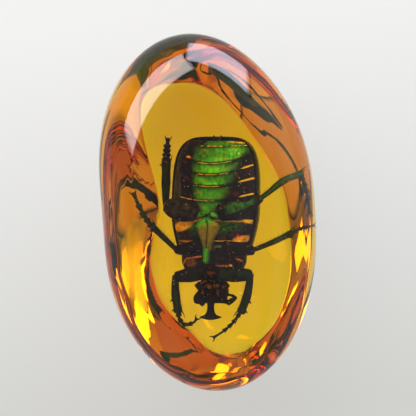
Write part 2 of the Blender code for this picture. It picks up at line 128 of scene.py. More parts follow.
# Clouds that break up a tint: size, seed, and the values where a patch starts and is full
CLOUDS = {
    "belly_olive": (1.0, 8.0, 0.1, 0.5),
    "flank_brown": (0.8, 4.0, 0.0, 0.55),
    "tail_rim": (0.5, 9.0, -0.5, 0.1),
    "seam_gold": (0.5, 9.0, -0.35, 0.15),
    "chest_brown": (0.7, 2.0, 0.05, 0.6),
    "chest_green": (0.5, 0.0, -0.6, 0.1),
    "chest_stains": (0.28, 5.0, -0.8, -0.1),
    "leg_root_green": (0.4, 4.0, -0.55, 0.25),
    "thin_brown": (0.6, 3.0, 0.1, 0.5),
    "collar_stains": (0.3, 1.0, -0.6, 0.1),
    "head_flecks": (0.3, 7.0, 0.42, 0.6),
    "head_stains": (0.25, 2.0, -0.5, 0.1),
    "leg_brown": (0.7, 6.0, 0.2, 0.6),
    "thigh_green": (0.5, 0.0, -0.7, 0.3),
    "thigh_slate": (0.9, 9.0, -0.35, 0.35),
    "front_thigh_green": (1.2, 5.0, -0.5, 0.4),
}
# Coarse and fine grain of each skin: height and size
GRAINS = {
    "belly": ((0.03, 0.9),),
    "chest": ((0.07, 0.55), (0.03, 0.2)),
    "collar": ((0.1, 0.8), (0.05, 0.3)),
    "head": ((0.12, 0.7), (0.06, 0.25)),
}
# How far round a skin has to face the belly's side to keep its tint; further round it gets painted shade,
# black
SHADE_FACING = (0.1, 0.4)
HEAD_SHADE_FACING = (0.0, 0.4)

# Wing cases: the gap between them, their thickness, rows and columns, ribs and rolled edge
SEAM_GAP = 0.06
WING_THICKNESS = 0.45
WING_LEAST_DEPTH = 0.55
WING_TAIL_ROWS = 26
WING_TAIL_START = 0.1
WING_TAIL_REACH = 0.86
WING_ROWS = 90
WING_COLUMNS = 64
WING_SQUARENESS = 2.4
RIB_SPACING = 0.92
RIB_DEPTH = 0.12
RIB_FADES = ((0.02, 0.2), (0.02, 0.25))
WING_ROLL = ((0.44, 0.12), (0.4, 0.42), (0.27, 0.58), (0.08, 0.5), (0.0, 0.22))
# Heights over which a wing case turns from a black rim, which is painted shade, to deep metallic green, and
# the green's metal share
WING_GREEN_HEIGHTS = (0.15, -0.9)
WING_METAL = 0.6
# Where each wing case has its tooth at the tail, with the tooth's ends past the tail and up
TAIL_TEETH = {"left": -0.5, "right": 0.85}
TOOTH_ENDS = ((-0.35, 0.2), (0.3, 0.35))
TOOTH_RADIUS = 0.32

# Belly: rows, columns and squareness, its ends, and its plates between seams
BELLY_SEAMS = (2.05, 4.9, 7.25, 9.45, 12.85)
BELLY_ROWS = 110
BELLY_COLUMNS = 200
BELLY_SQUARENESS = 2.3
BELLY_FRONT_Y = 0.0
BELLY_TAIL_Y = 13.95
BELLY_HEIGHT = 5.1
# The belly is level up to the first of these places and would close at the second
BELLY_LEVEL_Y = 2.5
BELLY_CLOSE_Y = 14.6
BELLY_CLOSE_POWER = 2.6
BELLY_LAST_SHARE = 0.97
PLATE_RISE = 0.16
PLATE_RISE_LENGTH = 1.4
SEAM_STEP = 0.03
SEAM_ROWS = range(-6, 14)
SEAM_WIDTH = 0.35
SEAM_DEPTH = 0.16
# How fast each seam bows toward the tail at the flanks, by its place along the body
BELLY_BOWS = (
    (0.0, 0.015), (2.05, 0.022), (4.9, 0.025), (7.25, 0.03), (9.45, 0.03), (12.85, 0.004), (13.95, 0.0),
)
# Left and right edge of the belly's green field, the band that faces the light; beyond it, painted shade
BELLY_GREEN = (
    (-0.8, -0.6, -0.3),
    (0.3, -1.3, 1.2),
    (2.0, -2.6, 3.0),
    (4.9, -3.2, 4.2),
    (7.2, -3.3, 5.0),
    (9.5, -3.4, 5.6),
    (11.1, -3.3, 6.8),
    (12.8, -3.2, 6.7),
    (13.2, -1.6, 5.4),
    (13.95, -1.0, 4.2),
)
# Streaks of its green: how fine they are across and along, seed and strength
BELLY_STREAKS = ((2.2, 0.7, 0.0, 0.7), (4.5, 1.6, 3.0, 0.5))
# Its brightness everywhere, added toward the middle as a painted highlight and by the streaks, and how wide
# the middle is
BELLY_LIGHT = (0.25, 0.6, 0.8)
BELLY_MIDDLE = 4.0
# How far the green fades in at the left, out at the right on both sides of the edge, and at the tail
GREEN_LEFT_FADE = 0.7
GREEN_RIGHT_FADES = (1.6, 0.9)
GREEN_TAIL = (13.7, 13.95)
GREEN_METAL = 0.65
# Where each seam shows a fine golden line, and where its flank gapes in a golden slit
SEAM_GOLD = ((-6.3, 1.1), (-2.7, 1.9), (-2.4, 3.6), (-2.6, 4.2), (-2.4, 6.4))
SEAM_SLITS = ((5.4, 7.9), (5.2, 8.2), (5.5, 8.2), None, None)
# How a seam is shaded before and behind, and how sharp its golden line is
SEAM_SHADE = ((-0.8, -0.08), (-0.02, 0.45))
SEAM_LINE = (0.035, 0.09)
# How fast a slit opens and closes, how far behind its seam it lies, and how sharp its edge is
SLIT_ENDS = (0.9, 0.3)
SLIT_MIDDLE = 0.19
SLIT_EDGE = (0.12, 0.2)
# Golden line along the tail's rim: middle, half sizes and turn in degrees
TAIL_RIM = ((5.0, 13.5), (2.6, 0.12), -5)
# Hollows, and stains with one painted shade: middle, half sizes, turn in degrees, then depth or colour and
# strength; the blue-grey mark is the painted shade in the flank hollow
BELLY_HOLLOWS = (((-7.2, 4.6), (0.9, 3.2), 12, 0.5),)
BELLY_MARKS = (
    ((-7.3, 4.4), (1.1, 3.0), 8, "slate_sheen_and_shade", 0.8),
    ((-4.6, 10.7), (0.45, 0.22), -20, "orange", 1.0),
)

# Chest: rows, columns and squareness, its ends, and its height along the body
CHEST_ROWS = 150
CHEST_COLUMNS = 240
CHEST_SQUARENESS = 2.0
CHEST_BACK_Y = 0.6
CHEST_FRONT_Y = -8.3
CHEST_HEIGHTS = ((0.6, 4.9), (-1.0, 5.2), (-3.0, 5.3), (-5.5, 5.0), (-8.3, 4.2))
# Middle and half width of the arrow-shaped breastplate
ARROW = (
    (0.0, -0.45, 0.6),
    (-1.9, -0.3, 1.9),
    (-2.9, 0.0, 2.55),
    (-4.2, -0.1, 2.1),
    (-5.6, -0.25, 1.4),
    (-7.3, -0.35, 1.0),
    (-8.3, -0.45, 0.72),
    (-10.2, -0.5, 0.64),
)
# Above this line the breastplate ends in a brow that falls off to both sides
BROW_Y = -0.95
BROW_FALL = 0.5
PLATE_HEIGHT = 0.55
PLATE_EDGE = (-0.05, 0.5)
PLATE_METAL = 0.55
PLATE_TINT_EDGE = (-0.05, 0.18)
# Where the chest beside the breastplate turns grainy
BESIDE_PLATE = (-0.3, -0.8)
# Tints of the breastplate toward its front: where each starts and is full, its slant and strength
PLATE_TINTS = (
    ("olive", (-1.7, -3.4), -0.35, 1.0),
    ("deep_green", (-5.5, -7.5), 0.0, 0.35),
    ("green", (-8.1, -8.5), 0.0, 0.8),
)
# Groove down the breastplate's middle: depth, edge, and how it starts and ends
MIDDLE_GROOVE_DEPTH = 0.25
MIDDLE_GROOVE_EDGE = (0.03, 0.16)
MIDDLE_GROOVE_ENDS = ((-8.0, -7.6), (0.2, -0.9))
# Groove round the breastplate: depth, how far out it lies, and how wide it is
ROUND_GROOVE_DEPTH = 0.16
ROUND_GROOVE_OUT = 0.12
ROUND_GROOVE_WIDTH = 0.14
# Dark line in it: width, and where it starts at the front; and edge of the dark line down the middle
ROUND_LINE_WIDTH = 0.11
ROUND_LINE_FRONT = (-8.3, -7.0)
MIDDLE_LINE_EDGE = (0.06, 0.15)
# Small green wedge behind the breastplate: tip, slope and edge, and what the plate hides of it
WEDGE_TIP = (-0.45, -0.75)
WEDGE_SLOPE = 1.1
WEDGE_EDGE = (-0.15, 0.15)
WEDGE_HIDDEN = ((0, -2), (1, 1))
# Plates that the hind legs grow from: place beside the middle, shift, half sizes, height and turn
LEG_ROOT_PLACE = (1.35, -0.75)
LEG_ROOT_SHIFT = -0.2
LEG_ROOT = (0.95, 0.6)
LEG_ROOT_TINTED = (1.0, 0.62)
LEG_ROOT_HEIGHT = 0.3
LEG_ROOT_TURN = 42
CHEST_HOLLOWS = (
    ((-5.6, -2.9), (2.4, 0.9), 12, 0.35),
    ((5.9, -1.7), (2.6, 0.5), -12, 0.3),
    ((5.6, -5.1), (1.9, 0.7), -20, 0.3),
    ((-4.6, -5.9), (2.6, 0.25), 8, 0.3),
    ((4.4, -6.2), (2.6, 0.25), -6, 0.3),
)
CHEST_MARKS = (
    ((8.2, -4.2), (0.8, 2.7), 0, "amber_brown", 0.55),
    ((-5.6, -3.0), (2.1, 0.95), 14, "ochre", 0.95),
    ((-2.1, -1.85), (1.2, 0.16), 18, "orange", 0.85),
    ((-2.8, -0.4), (0.35, 0.2), 30, "gold", 0.8),
    ((-4.8, -6.0), (1.9, 0.2), -2, "orange", 0.85),
    ((-6.9, -6.7), (0.7, 0.25), 20, "orange", 0.7),
    ((4.0, -1.9), (2.7, 0.14), -3, "orange", 0.9),
    ((7.5, -2.0), (1.4, 0.38), -8, "gold", 0.95),
    ((7.3, -1.8), (0.5, 0.17), 0, "glow", 1.0),
    ((6.1, -5.4), (1.4, 0.6), 12, "ochre", 0.95),
    ((5.5, -4.8), (0.42, 0.24), 0, "red", 0.95),
    ((3.7, -5.9), (2.6, 0.13), 0, "gold", 0.85),
    ((4.6, -6.6), (1.8, 0.12), 2, "gold", 0.85),
    ((7.6, -7.4), (1.1, 0.2), -25, "gold", 0.9),
    ((2.0, -7.0), (0.9, 0.17), 0, "green", 0.9),
)
# Green light in the hollows beside the breastplate: middle, half sizes and turn in degrees
CHEST_GLOWS = (((-2.9, -3.1), (1.3, 1.2), 0), ((3.6, -3.0), (2.2, 1.2), 15))
# Blunt process in front of the breastplate: y, half width and top
PROCESS = (
    (-7.4, 0.85, 5.05),
    (-8.4, 0.70, 5.1),
    (-9.2, 0.66, 5.1),
    (-9.9, 0.64, 5.0),
    (-10.25, 0.52, 4.85),
    (-10.4, 0.25, 4.6),
)
PROCESS_STEPS = 8
PROCESS_COLUMNS = 20
PROCESS_MIDDLE = -0.45
PROCESS_HEIGHT = 0.9
HORN_SQUARENESS = 2.6

# Sections of the collar and the head: y, half width, height and depth
COLLAR_ROWS = 80
COLLAR_COLUMNS = 180
COLLAR_SQUARENESS = 2.3
COLLAR = (
    (-8.2, 6.25, 3.7, 3.9),
    (-10.0, 6.15, 3.9, 3.8),
    (-11.5, 5.6, 3.7, 3.5),
    (-12.6, 4.8, 3.2, 3.0),
    (-13.05, 4.2, 2.8, 2.7),
)
COLLAR_HOLLOWS = (
    ((-3.9, -10.1), (1.9, 0.9), 20, 0.4),
    ((3.4, -10.4), (1.8, 0.6), -12, 0.35),
)
COLLAR_MARKS = (
    ((-3.8, -10.3), (1.1, 0.8), 0, "amber_brown", 0.55),
    ((-3.2, -9.2), (1.7, 0.2), 8, "orange", 0.85),
    ((-5.1, -9.8), (0.8, 0.2), 50, "orange", 0.75),
    ((6.7, -9.7), (0.4, 0.45), 0, "amber_brown", 0.9),
    ((5.4, -9.5), (0.6, 0.22), -30, "orange", 0.6),
    ((4.0, -10.7), (0.32, 0.2), 0, "gold", 0.95),
    ((2.5, -10.8), (1.2, 0.16), 0, "amber_brown", 0.9),
    ((-0.4, -12.2), (1.4, 0.4), 0, "amber_brown", 0.5),
)
HEAD_ROWS = 90
HEAD_COLUMNS = 140
HEAD_SQUARENESS = 2.5
HEAD = (
    (-12.9, 1.7, 1.8, 1.2),
    (-13.5, 2.3, 2.2, 1.5),
    (-14.6, 2.8, 2.6, 1.8),
    (-15.9, 2.9, 2.75, 1.6),
    (-17.1, 2.7, 2.4, 1.0),
    (-17.8, 2.75, 2.1, 0.6),
    (-18.1, 2.45, 1.8, 0.4),
)
# How deep each cheek is hollowed, with its middle and half sizes
CHEEK_DEPTH = 0.45
CHEEK = ((1.25, -16.0), (0.7, 1.0))
HEAD_MARKS = (
    ((-1.3, -13.9), (0.5, 0.3), 25, "amber_brown", 0.8),
    ((-0.2, -14.9), (0.5, 0.35), -35, "amber_brown", 0.8),
    ((1.3, -14.7), (0.4, 0.3), 0, "amber_brown", 0.75),
    ((-1.9, -14.2), (0.22, 0.2), 0, "gold", 0.8),
    ((2.5, -15.0), (0.25, 0.35), 20, "amber_brown", 0.7),
)
# The flared horn: y, half width and half thickness
HORN = (
    (-17.0, 0.90, 0.60),
    (-18.0, 0.72, 0.55),
    (-18.9, 0.64, 0.52),
    (-19.5, 0.72, 0.50),
    (-20.0, 0.86, 0.46),
    (-20.4, 1.25, 0.42),
    (-20.68, 1.95, 0.34),
    (-20.85, 2.14, 0.28),
    (-21.08, 1.60, 0.30),
    (-21.28, 0.85, 0.26),
    (-21.38, 0.25, 0.12),
)
HORN_STEPS = 6
HORN_COLUMNS = 32
HORN_HEIGHT = 1.9
EYE_CENTRE = (2.65, -14.7, 1.0)
EYE_AXIS = (0.9, 0.1, 0.2)
EYE_HALF_LENGTH = 0.55
EYE = {"wide": 0.85, "narrow": 0.1, "power": 0.8, "flat": 0.95}
# Round the mouth: two cheek lobes and a feeler on each side, as x, y, z and radius
CHEEK_LOBES = (
    ((-1.9, -16.2, 1.5, 0.9), (-2.6, -17.2, 1.4, 0.95), (-2.9, -17.9, 1.2, 0.6)),
    ((1.9, -16.4, 1.5, 0.8), (2.3, -17.4, 1.4, 0.75), (2.7, -17.9, 1.2, 0.4)),
)
PALP = ((0.7, -14.6, 2.65, 0.26), (1.4, -15.6, 2.65, 0.24), (1.5, -16.8, 2.2, 0.2))

# Limbs: flatness of a thigh and a foot, their sheen, and rows of points
THIGH_FLATNESS = 0.62
FOOT_FLATNESS = 0.85
LIMB_METAL = 0.05
SPAN_STEPS = 14
JOINT_ROWS = 8
LEAF_ROWS = 8
# Shape of an antenna's leaf: half width, how much it narrows, fullness and flatness
LEAF = {"wide": 0.3, "narrow": 0.12, "power": 0.6, "flat": 0.42}
# How far the leaves of an antenna's club lean apart
LEAF_LEAN = 0.16
# Hairs: where they root across a limb and how far up or down, how they lean up or down and along,
# their lengths and their bend
HAIR_ROOT = 0.8
HAIR_RISE = 0.15
HAIR_LEAN = 0.35
HAIR_LEAN_ALONG = (0.2, 0.7)
HAIR_LENGTHS = (0.6, 1.15)
HAIR_BEND = 0.06
# Rounded ends: shares of the width on the way to the tip, and how far the tip reaches
END_SHARES = (0.3, 0.62, 0.86)
END_REACH = 0.8
# Joints of a foot as shares of its length, teeth of a shin, and how far out and how long its two spurs are
FOOT_JOINTS = (0.0, 0.17, 0.34, 0.51, 0.68, 1.0)
SHIN_TEETH = (0.9, 0.62)
SPURS = ((0.8, 1.6), (0.35, 1.15))
SHIN_TOOTH_RADIUS = 0.26
SPUR_RADIUS = 0.13
JOINT_SPINE_RADIUS = 0.07
CLAW_RADIUS = 0.15
# How much wider than its route each leg's thigh and foot are
LEG_WIDTHS = {
    "leg_hind_left": (1.15, 2.0),
    "leg_hind_right": (1.28, 1.2),
    "leg_middle_left": (1.05, 1.7),
    "leg_middle_right": (1.15, 1.2),
    "leg_front_left": (1.2, 1.35),
    "leg_front_right": (1.25, 1.2),
}
# How far a thigh is lifted over the body where it leaves it, and at its middle
THIGH_LIFTS = {
    "leg_hind_right": (1.9, 1.7, 0.9, 0.1),
    "leg_middle_right": (1.5, 1.5, 0.2),
    "leg_front_right": (0.9, 0.9, 0.1),
}
# Each leg is a thigh, a shin and a foot: points of x, y, z and radius in the pebble's frame
LEGS = {
    "leg_hind_left": (
        (
            (-2.7, 0.3, 16.4, 1.5), (-4.5, 0.7, 16.0, 1.9),
            (-6.4, 1.5, 15.2, 1.8), (-7.6, 2.1, 14.5, 1.25),
        ),
        ((-7.9, 2.2, 14.4, 0.6), (-7.5, 6.0, 14.1, 0.75), (-7.0, 10.7, 13.8, 0.8)),
        (
            (-7.1, 10.2, 13.8, 0.4), (-6.8, 12.0, 13.7, 0.36),
            (-6.5, 13.7, 13.6, 0.32), (-6.2, 15.1, 13.5, 0.25),
        ),
    ),
    "leg_hind_right": (
        (
            (2.3, -0.4, 15.9, 1.4), (4.9, 0.1, 15.6, 1.7),
            (7.7, 0.9, 15.0, 1.3), (10.0, 1.7, 14.5, 0.6),
        ),
        (
            (9.7, 1.5, 14.4, 0.5), (11.5, 2.7, 14.1, 0.5),
            (14.3, 4.7, 13.9, 0.62), (17.3, 5.7, 13.6, 0.6),
        ),
        (
            (17.0, 5.6, 13.6, 0.36), (17.6, 3.4, 13.4, 0.33),
            (17.8, 0.6, 13.3, 0.32), (17.8, -2.4, 13.3, 0.25),
        ),
    ),
    "leg_middle_left": (
        ((-2.5, -6.4, 16.2, 1.1), (-4.7, -6.9, 15.6, 1.25), (-6.9, -6.8, 14.5, 0.75)),
        ((-6.7, -7.0, 14.5, 0.5), (-8.7, -4.4, 13.9, 0.5), (-10.5, -2.0, 13.5, 0.6)),
        (
            (-10.3, -2.4, 13.5, 0.36), (-11.4, -0.4, 13.3, 0.33),
            (-12.5, 2.6, 13.2, 0.3), (-13.2, 5.3, 13.1, 0.25),
        ),
    ),
    "leg_middle_right": (
        ((2.3, -7.2, 15.6, 1.1), (4.7, -7.9, 15.0, 1.25), (7.6, -8.5, 14.3, 0.75)),
        ((7.3, -8.5, 14.2, 0.5), (11.0, -7.3, 13.8, 0.5), (14.6, -5.8, 13.5, 0.62)),
        (
            (14.2, -6.0, 13.5, 0.36), (16.0, -5.1, 13.3, 0.33),
            (17.2, -4.9, 13.2, 0.3), (18.5, -4.7, 13.1, 0.25),
        ),
    ),
    "leg_front_left": (
        ((-1.9, -11.9, 15.6, 1.0), (-4.5, -12.0, 15.1, 1.2), (-7.3, -12.1, 14.3, 0.85)),
        ((-7.5, -11.9, 14.2, 0.55), (-7.7, -15.4, 13.9, 0.62), (-7.5, -18.8, 13.7, 0.62)),
        (
            (-7.5, -18.4, 13.7, 0.36), (-7.4, -20.2, 13.6, 0.33), (-6.5, -21.5, 13.6, 0.32),
            (-4.9, -21.3, 13.6, 0.3), (-4.2, -20.6, 13.6, 0.25),
        ),
    ),
    "leg_front_right": (
        ((0.9, -12.4, 15.0, 1.0), (3.7, -12.8, 14.7, 1.2), (6.6, -13.2, 14.2, 0.85)),
        ((6.7, -13.0, 14.1, 0.55), (5.6, -17.0, 13.9, 0.62), (4.1, -20.2, 13.7, 0.62)),
        (
            (4.3, -19.8, 13.7, 0.36), (2.6, -21.9, 13.6, 0.33),
            (0.7, -23.4, 13.6, 0.3), (-1.5, -24.6, 13.6, 0.25),
        ),
    ),
}
# Each antenna is a stalk and a club, drawn in toward the head by a shift
ANTENNAE = {
    "antenna_left": (
        ((-3.0, -16.4, 14.4, 0.3), (-3.9, -16.9, 14.4, 0.28), (-4.2, -17.5, 14.5, 0.28)),
        ((-4.2, -17.3, 14.6, 0.36), (-3.7, -18.1, 14.7, 0.5), (-3.0, -18.5, 14.8, 0.4)),
    ),
    "antenna_right": (
        ((1.6, -16.6, 14.5, 0.3), (3.1, -17.1, 14.7, 0.28), (3.7, -17.6, 14.8, 0.28)),
        ((3.8, -17.5, 14.8, 0.36), (2.8, -18.3, 14.9, 0.5), (1.8, -18.6, 15.0, 0.4)),
    ),
}
ANTENNA_SHIFTS = {"antenna_left": (0.45, 0.35, 0.0), "antenna_right": (-0.2, 0.2, 0.0)}

# Each skin's roughness, spacing and depth of its pits in millimetres, and gloss
SKINS = {
    "wing_case_skin": (0.25, 0.3, 0.03, 0.3),
    "belly_skin": (0.3, 0.22, 0.02, 0.03),
    "chest_skin": (0.3, 0.22, 0.02, 0.03),
    "collar_skin": (0.35, 0.25, 0.035, 0.03),
    "head_skin": (0.35, 0.2, 0.035, 0.03),
    "antenna_skin": (0.35, 0.15, 0.02, 0.03),
    "leg_skin": (0.3, 0.2, 0.025, 0.03),
}
SKIN_IOR = 1.55
# Clouds in a skin: how many pits across, and how they lighten its tint and blur its gloss
CLOUD_PITS = 3.5
CLOUD_TINTS = (0.4, 1.6)
CLOUD_BLURS = (-0.08, 0.14)
PIT_REACH = 0.45
PIT_STRENGTH = 0.7
# Fine pale specks on the beetle: spacing, edge and colour
PALE_SPECK_SPACING = 0.95
PALE_SPECK_EDGE = (0.11, 0.07)
PALE_SPECK = (0.55, 0.5, 0.45, 1)

# Stage, in metres where no millimetres are named
IMAGE_PIXELS = 416
SENSOR_WIDTH = 36.0
IMAGE_TURN = -0.1013
PIXEL_SIZE = 0.205
CAMERA_POINT = (-0.02, 0.80)
CLIP_START = 0.01
# Panes of light by azimuth and elevation in degrees, width and height in metres, tint,
# strength beside the windows, and whether they show in reflections
WINDOWS = {
    "tall_window": (67, 18, 0.68, 0.56, (0.86, 0.90, 1.10), 1.0, True),
    "long_window": (124, 38, 0.94, 0.35, (1.05, 0.98, 0.90), 1.0, True),
    "high_lamp": (125, 68, 0.34, 0.28, (1.0, 1.0, 1.0), 0.5, False),
    "side_lamp": (168, 47, 0.24, 0.12, (1.0, 1.0, 1.0), 0.45, False),
    "fill_lamp": (-100, 66, 0.85, 0.65, (1.0, 1.0, 0.6), 0.09, False),
}
WINDOW_DISTANCE = 0.8
WINDOW_SOFTNESS = 0.1
# Glow on one side of the room: azimuth and elevation in degrees, and how far it spreads
GLOW_TOWARD = (38, 12)
GLOW_REACH = math.radians(45)
# Colour of the room from below to above
ROOM_BANDS = (
    (0.0, (0.56, 0.55, 0.24)),
    (0.72, (0.50, 0.50, 0.26)),
    (0.92, (0.22, 0.22, 0.25)),
)
# Patches of the room: how many, the range of noise they are drawn from, and the darkest and brightest
ROOM_PATCHES = 2.6
ROOM_PATCH_NOISE = (0.35, 0.65)
ROOM_PATCH_RANGE = (0.95, 2.1)
FLOOR_SIZE = 4
FLOOR_DROP = 0.0002
FLOOR_REACH = 43
# Glow of the floor from the near side to the far one, and in the oval below the pebble, whose far end
# shades it
FLOOR_SHADES = ((-43, (0.64, 0.64, 0.64)), (43, (0.93, 0.93, 0.93)))
SHADES_BELOW = ((-18, (0.98, 0.93, 0.85)), (2, (0.94, 0.88, 0.80)), (22, (0.72, 0.59, 0.52)))
BELOW_HALF_LENGTH = 29
BELOW_HALF_WIDTH = 12
BELOW_EDGE = (1.2, 0.8)
# How often light may bounce
LIGHT_BOUNCES = {
    "max_bounces": 16,
    "transmission_bounces": 16,
    "glossy_bounces": 8,
    "diffuse_bounces": 4,
}


def smoothstep(low, high, value):
    """Rise from 0 to 1 between two values, with soft ends."""
    share = min(max((value - low) / (high - low), 0.0), 1.0)
    return share * share * (3 - 2 * share)


def signed_power(value, power):
    """Raise a size to a power and keep its sign."""
    return math.copysign(abs(value) ** power, value)


def turns(count):
    """Angles that divide a full turn into equal steps."""
    return [2 * math.pi * step / count for step in range(count)]


def turn_from(angle, place):
    """The shorter way round from one angle to another."""
    return (angle - place + math.pi) % math.tau - math.pi


def through(points, steps):
    """Points on a smooth curve through rows of equal length, a number of steps to each span."""
    rows = [Vector(point) for point in points]
    rows = [rows[0] * 2 - rows[1], *rows, rows[-1] * 2 - rows[-2]]
    found = []
    for a, b, c, d in zip(rows, rows[1:], rows[2:], rows[3:]):
        for step in range(steps):
            t = step / steps
            bend, twist = 2 * a - 5 * b + 4 * c - d, 3 * b - a - 3 * c + d
            found.append(0.5 * (2 * b + (c - a) * t + bend * t**2 + twist * t**3))
    found.append(rows[-2])
    return found


def at(table, place):
    """Read a table of (place, values...) rows at any place, with a smooth curve between rows."""
    rows = sorted(table)
    if place <= rows[0][0]:
        return rows[0][1:]
    for low, high in zip(rows, rows[1:]):
        if place <= high[0]:
            share = (place - low[0]) / (high[0] - low[0])
            share = CURVE_SHARE * smoothstep(0, 1, share) + (1 - CURVE_SHARE) * share
            return tuple(a + (b - a) * share for a, b in zip(low[1:], high[1:]))
    return rows[-1][1:]


def even_places(start, end, rows):
    """Evenly spaced places along the body."""
    return [start + (end - start) * step / rows for step in range(rows + 1)]


def blend(low, high, share):
    """Mix two colours."""
    return tuple(a + (b - a) * share for a, b in zip(low, high))


def mark(place, centre, reach, turn=0.0, soft=0.35):
    """Share of an oval mark at a place, from 1 inside to 0 outside."""
    x, y = place[0] - centre[0], place[1] - centre[1]
    cosine, sine = math.cos(math.radians(turn)), math.sin(math.radians(turn))
    along, across = x * cosine + y * sine, y * cosine - x * sine
    distance = math.hypot(along / reach[0], across / reach[1])
    return 1 - smoothstep(1 - soft, 1 + soft, distance)


def grime(place, size, seed=0.0):
    """Smooth cloudy value from -1 to 1."""
    return noise.noise(Vector((place[0] / size + seed, place[1] / size, place[2] / size - seed)))


def patches(place, name):
    """Share of a named cloud's patches at a place, from 0 outside to 1 inside."""
    size, seed, low, high = CLOUDS[name]
    return smoothstep(low, high, grime(place, size, seed))


def uneven(x, y, name):
    """Height of a skin's grain at a place."""
    return sum(height * grime((x, y, 0), size) for height, size in GRAINS[name])


def hollows(table, x, y, soft=0.35):
    """How deep a table's hollows are at a place."""
    return sum(depth * mark((x, y), centre, reach, turn, soft) for centre, reach, turn, depth in table)


def stained_and_shaded(look, place, table, palette, soft=0.35, cloud=None):
    """Lay a table's stains, and the painted shade among them, over a look, broken up by a cloud's patches.
    """
    colour, metal = look
    for centre, reach, turn, name, strength in table:
        stain_and_shade = strength * mark(place, centre, reach, turn, soft)
        if cloud:
            stain_and_shade *= patches(place, cloud)
        colour, metal = blend(colour, getattr(palette, name), stain_and_shade), metal * (1 - stain_and_shade)
    return colour, metal


def join_rows(form, rows, capped=False):
    """Faces between closed rows of points, and over both ends where these are capped."""
    count = len(rows[0])
    for near, far in zip(rows, rows[1:]):
        for step in range(count):
            after = (step + 1) % count
            form.faces.new((near[step], near[after], far[after], far[step]))
    if capped:
        form.faces.new(rows[0][::-1])
        form.faces.new(rows[-1])


def close_fan(form, row, tip):
    """Faces from a closed row to one point."""
    for step in range(len(row)):
        form.faces.new((row[step], row[(step + 1) % len(row)], tip))


class Skin:
    """A form that keeps a tint and a metal share for each of its points."""

    def __init__(self):
        self.form = bmesh.new()
        self.tint = self.form.verts.layers.float_color.new("tint")
        self.metal = self.form.verts.layers.float.new("metal")

    def paint(self, vert, look):
        """Give a point its look: a tint and a metal share."""
        colour, metal = look
        vert[self.tint] = (*colour, 1.0)
        vert[self.metal] = metal

    def point(self, place, look):
        """Add a point with its look."""
        vert = self.form.verts.new(place)
        self.paint(vert, look)
        return vert


def beetle_seat():
    """Turn the beetle's frame into the pebble's."""
    turn = Matrix.Rotation(BEETLE_TURN, 4, "Z") @ Matrix.Rotation(BEETLE_ROLL, 4, "Y")
    return Matrix.Translation(BEETLE_CENTRE) @ turn


def wing_case_half_width(y):
    """Half width of the wing cases along the body."""
    if y > 0:
        return BODY_HALF_WIDTH * (1 - min(y / TAIL_Y, 1) ** TAIL_SQUARENESS) ** (1 / TAIL_SQUARENESS)
    return BODY_HALF_WIDTH + (SHOULDER_HALF_WIDTH - BODY_HALF_WIDTH) * (y / SHOULDER_Y) ** SHOULDER_CURVE


def back_depth(y):
    """How far the back bulges under the rim of the wing cases."""
    close = (1 - (min(max(y, 0), TAIL_Y) / TAIL_Y) ** 3) ** 0.5
    fore = 1 - SHOULDER_FALL * min(y / SHOULDER_Y, 1) ** 2 if y < 0 else 1.0
    return BACK_DEPTH * close * fore


def body_ring(half_width, height, depth, squareness, count):
    """A rounded section: x and z of its points, belly side first."""
    points = []
    for angle in turns(count):
        x = half_width * signed_power(math.cos(angle), 2 / squareness)
        z = signed_power(math.sin(angle), 2 / squareness)
        points.append((x, z * (height if z > 0 else depth)))
    return points


def body_skin(palette, places, section, count, shape, look):
    """Skin a body's sections, with relief and tints that follow its own lines.

    The section gives half width, height, depth and squareness at a place along the body,
    the shape each point's bow and relief, and the look its tint and metal share.
    """
    skin = Skin()
    rows = []
    for y in places:
        half_width, height, depth, squareness = section(y)
        row = []
        for x, z in body_ring(half_width, height, depth, squareness, count):
            bow, relief = shape(x, y)
            if bow:
                there = section(y - bow)
                x *= there[0] / half_width
                z *= there[1] / height if z > 0 else there[2] / depth
            facing = smoothstep(0.0, 0.6, z / height)
            place = Vector((x, y - bow, z + relief * facing))
            row.append(skin.point(place, look(place, y, facing, palette)))
        rows.append(row)
    join_rows(skin.form, rows)
    for row in (rows[0], rows[-1]):
        middle = sum((vert.co for vert in row), Vector()) / count
        close_fan(skin.form, row, skin.point(middle, (row[0][skin.tint][:3], 0.0)))
    return skin


def table_section(table, squareness):
    """Half width, height, depth and squareness read from a table of places along the body."""
    return lambda y: (*at(table, y), squareness)


def belly_section(y):
    """Half width, height, depth and squareness of the belly."""
    share = max(0.0, (y - BELLY_LEVEL_Y) / (BELLY_CLOSE_Y - BELLY_LEVEL_Y))
    height = BELLY_HEIGHT * (1 - min(share, BELLY_LAST_SHARE) ** BELLY_CLOSE_POWER) ** 0.5
    half_width = max(wing_case_half_width(min(y, BELLY_TAIL_Y)) - BODY_INSET, LEAST_HALF_WIDTH)
    return half_width, height, max(back_depth(y) - BODY_INSET, LEAST_DEPTH), BELLY_SQUARENESS


def belly_places():
    """Places of the belly's sections, closer together beside each seam."""
    places = {round(y, 4) for y in even_places(BELLY_FRONT_Y, BELLY_TAIL_Y, BELLY_ROWS)}
    for seam in BELLY_SEAMS:
        places |= {round(seam + step * SEAM_STEP, 4) for step in SEAM_ROWS}
    return sorted(places, reverse=True)


def belly_shape(x, y):
    """Bow and relief of the belly plates: each lifts toward its rear edge and drops to the next."""
    relief = uneven(x, y, "belly") - hollows(BELLY_HOLLOWS, x, y)
    for seam in BELLY_SEAMS:
        behind = y - seam
        if -PLATE_RISE_LENGTH < behind <= 0:
            relief += PLATE_RISE * (1 + behind / PLATE_RISE_LENGTH) ** 2
        elif 0 < behind < SEAM_WIDTH:
            relief -= SEAM_DEPTH * (1 - behind / SEAM_WIDTH)
    return -at(BELLY_BOWS, y)[0] * x**2, relief


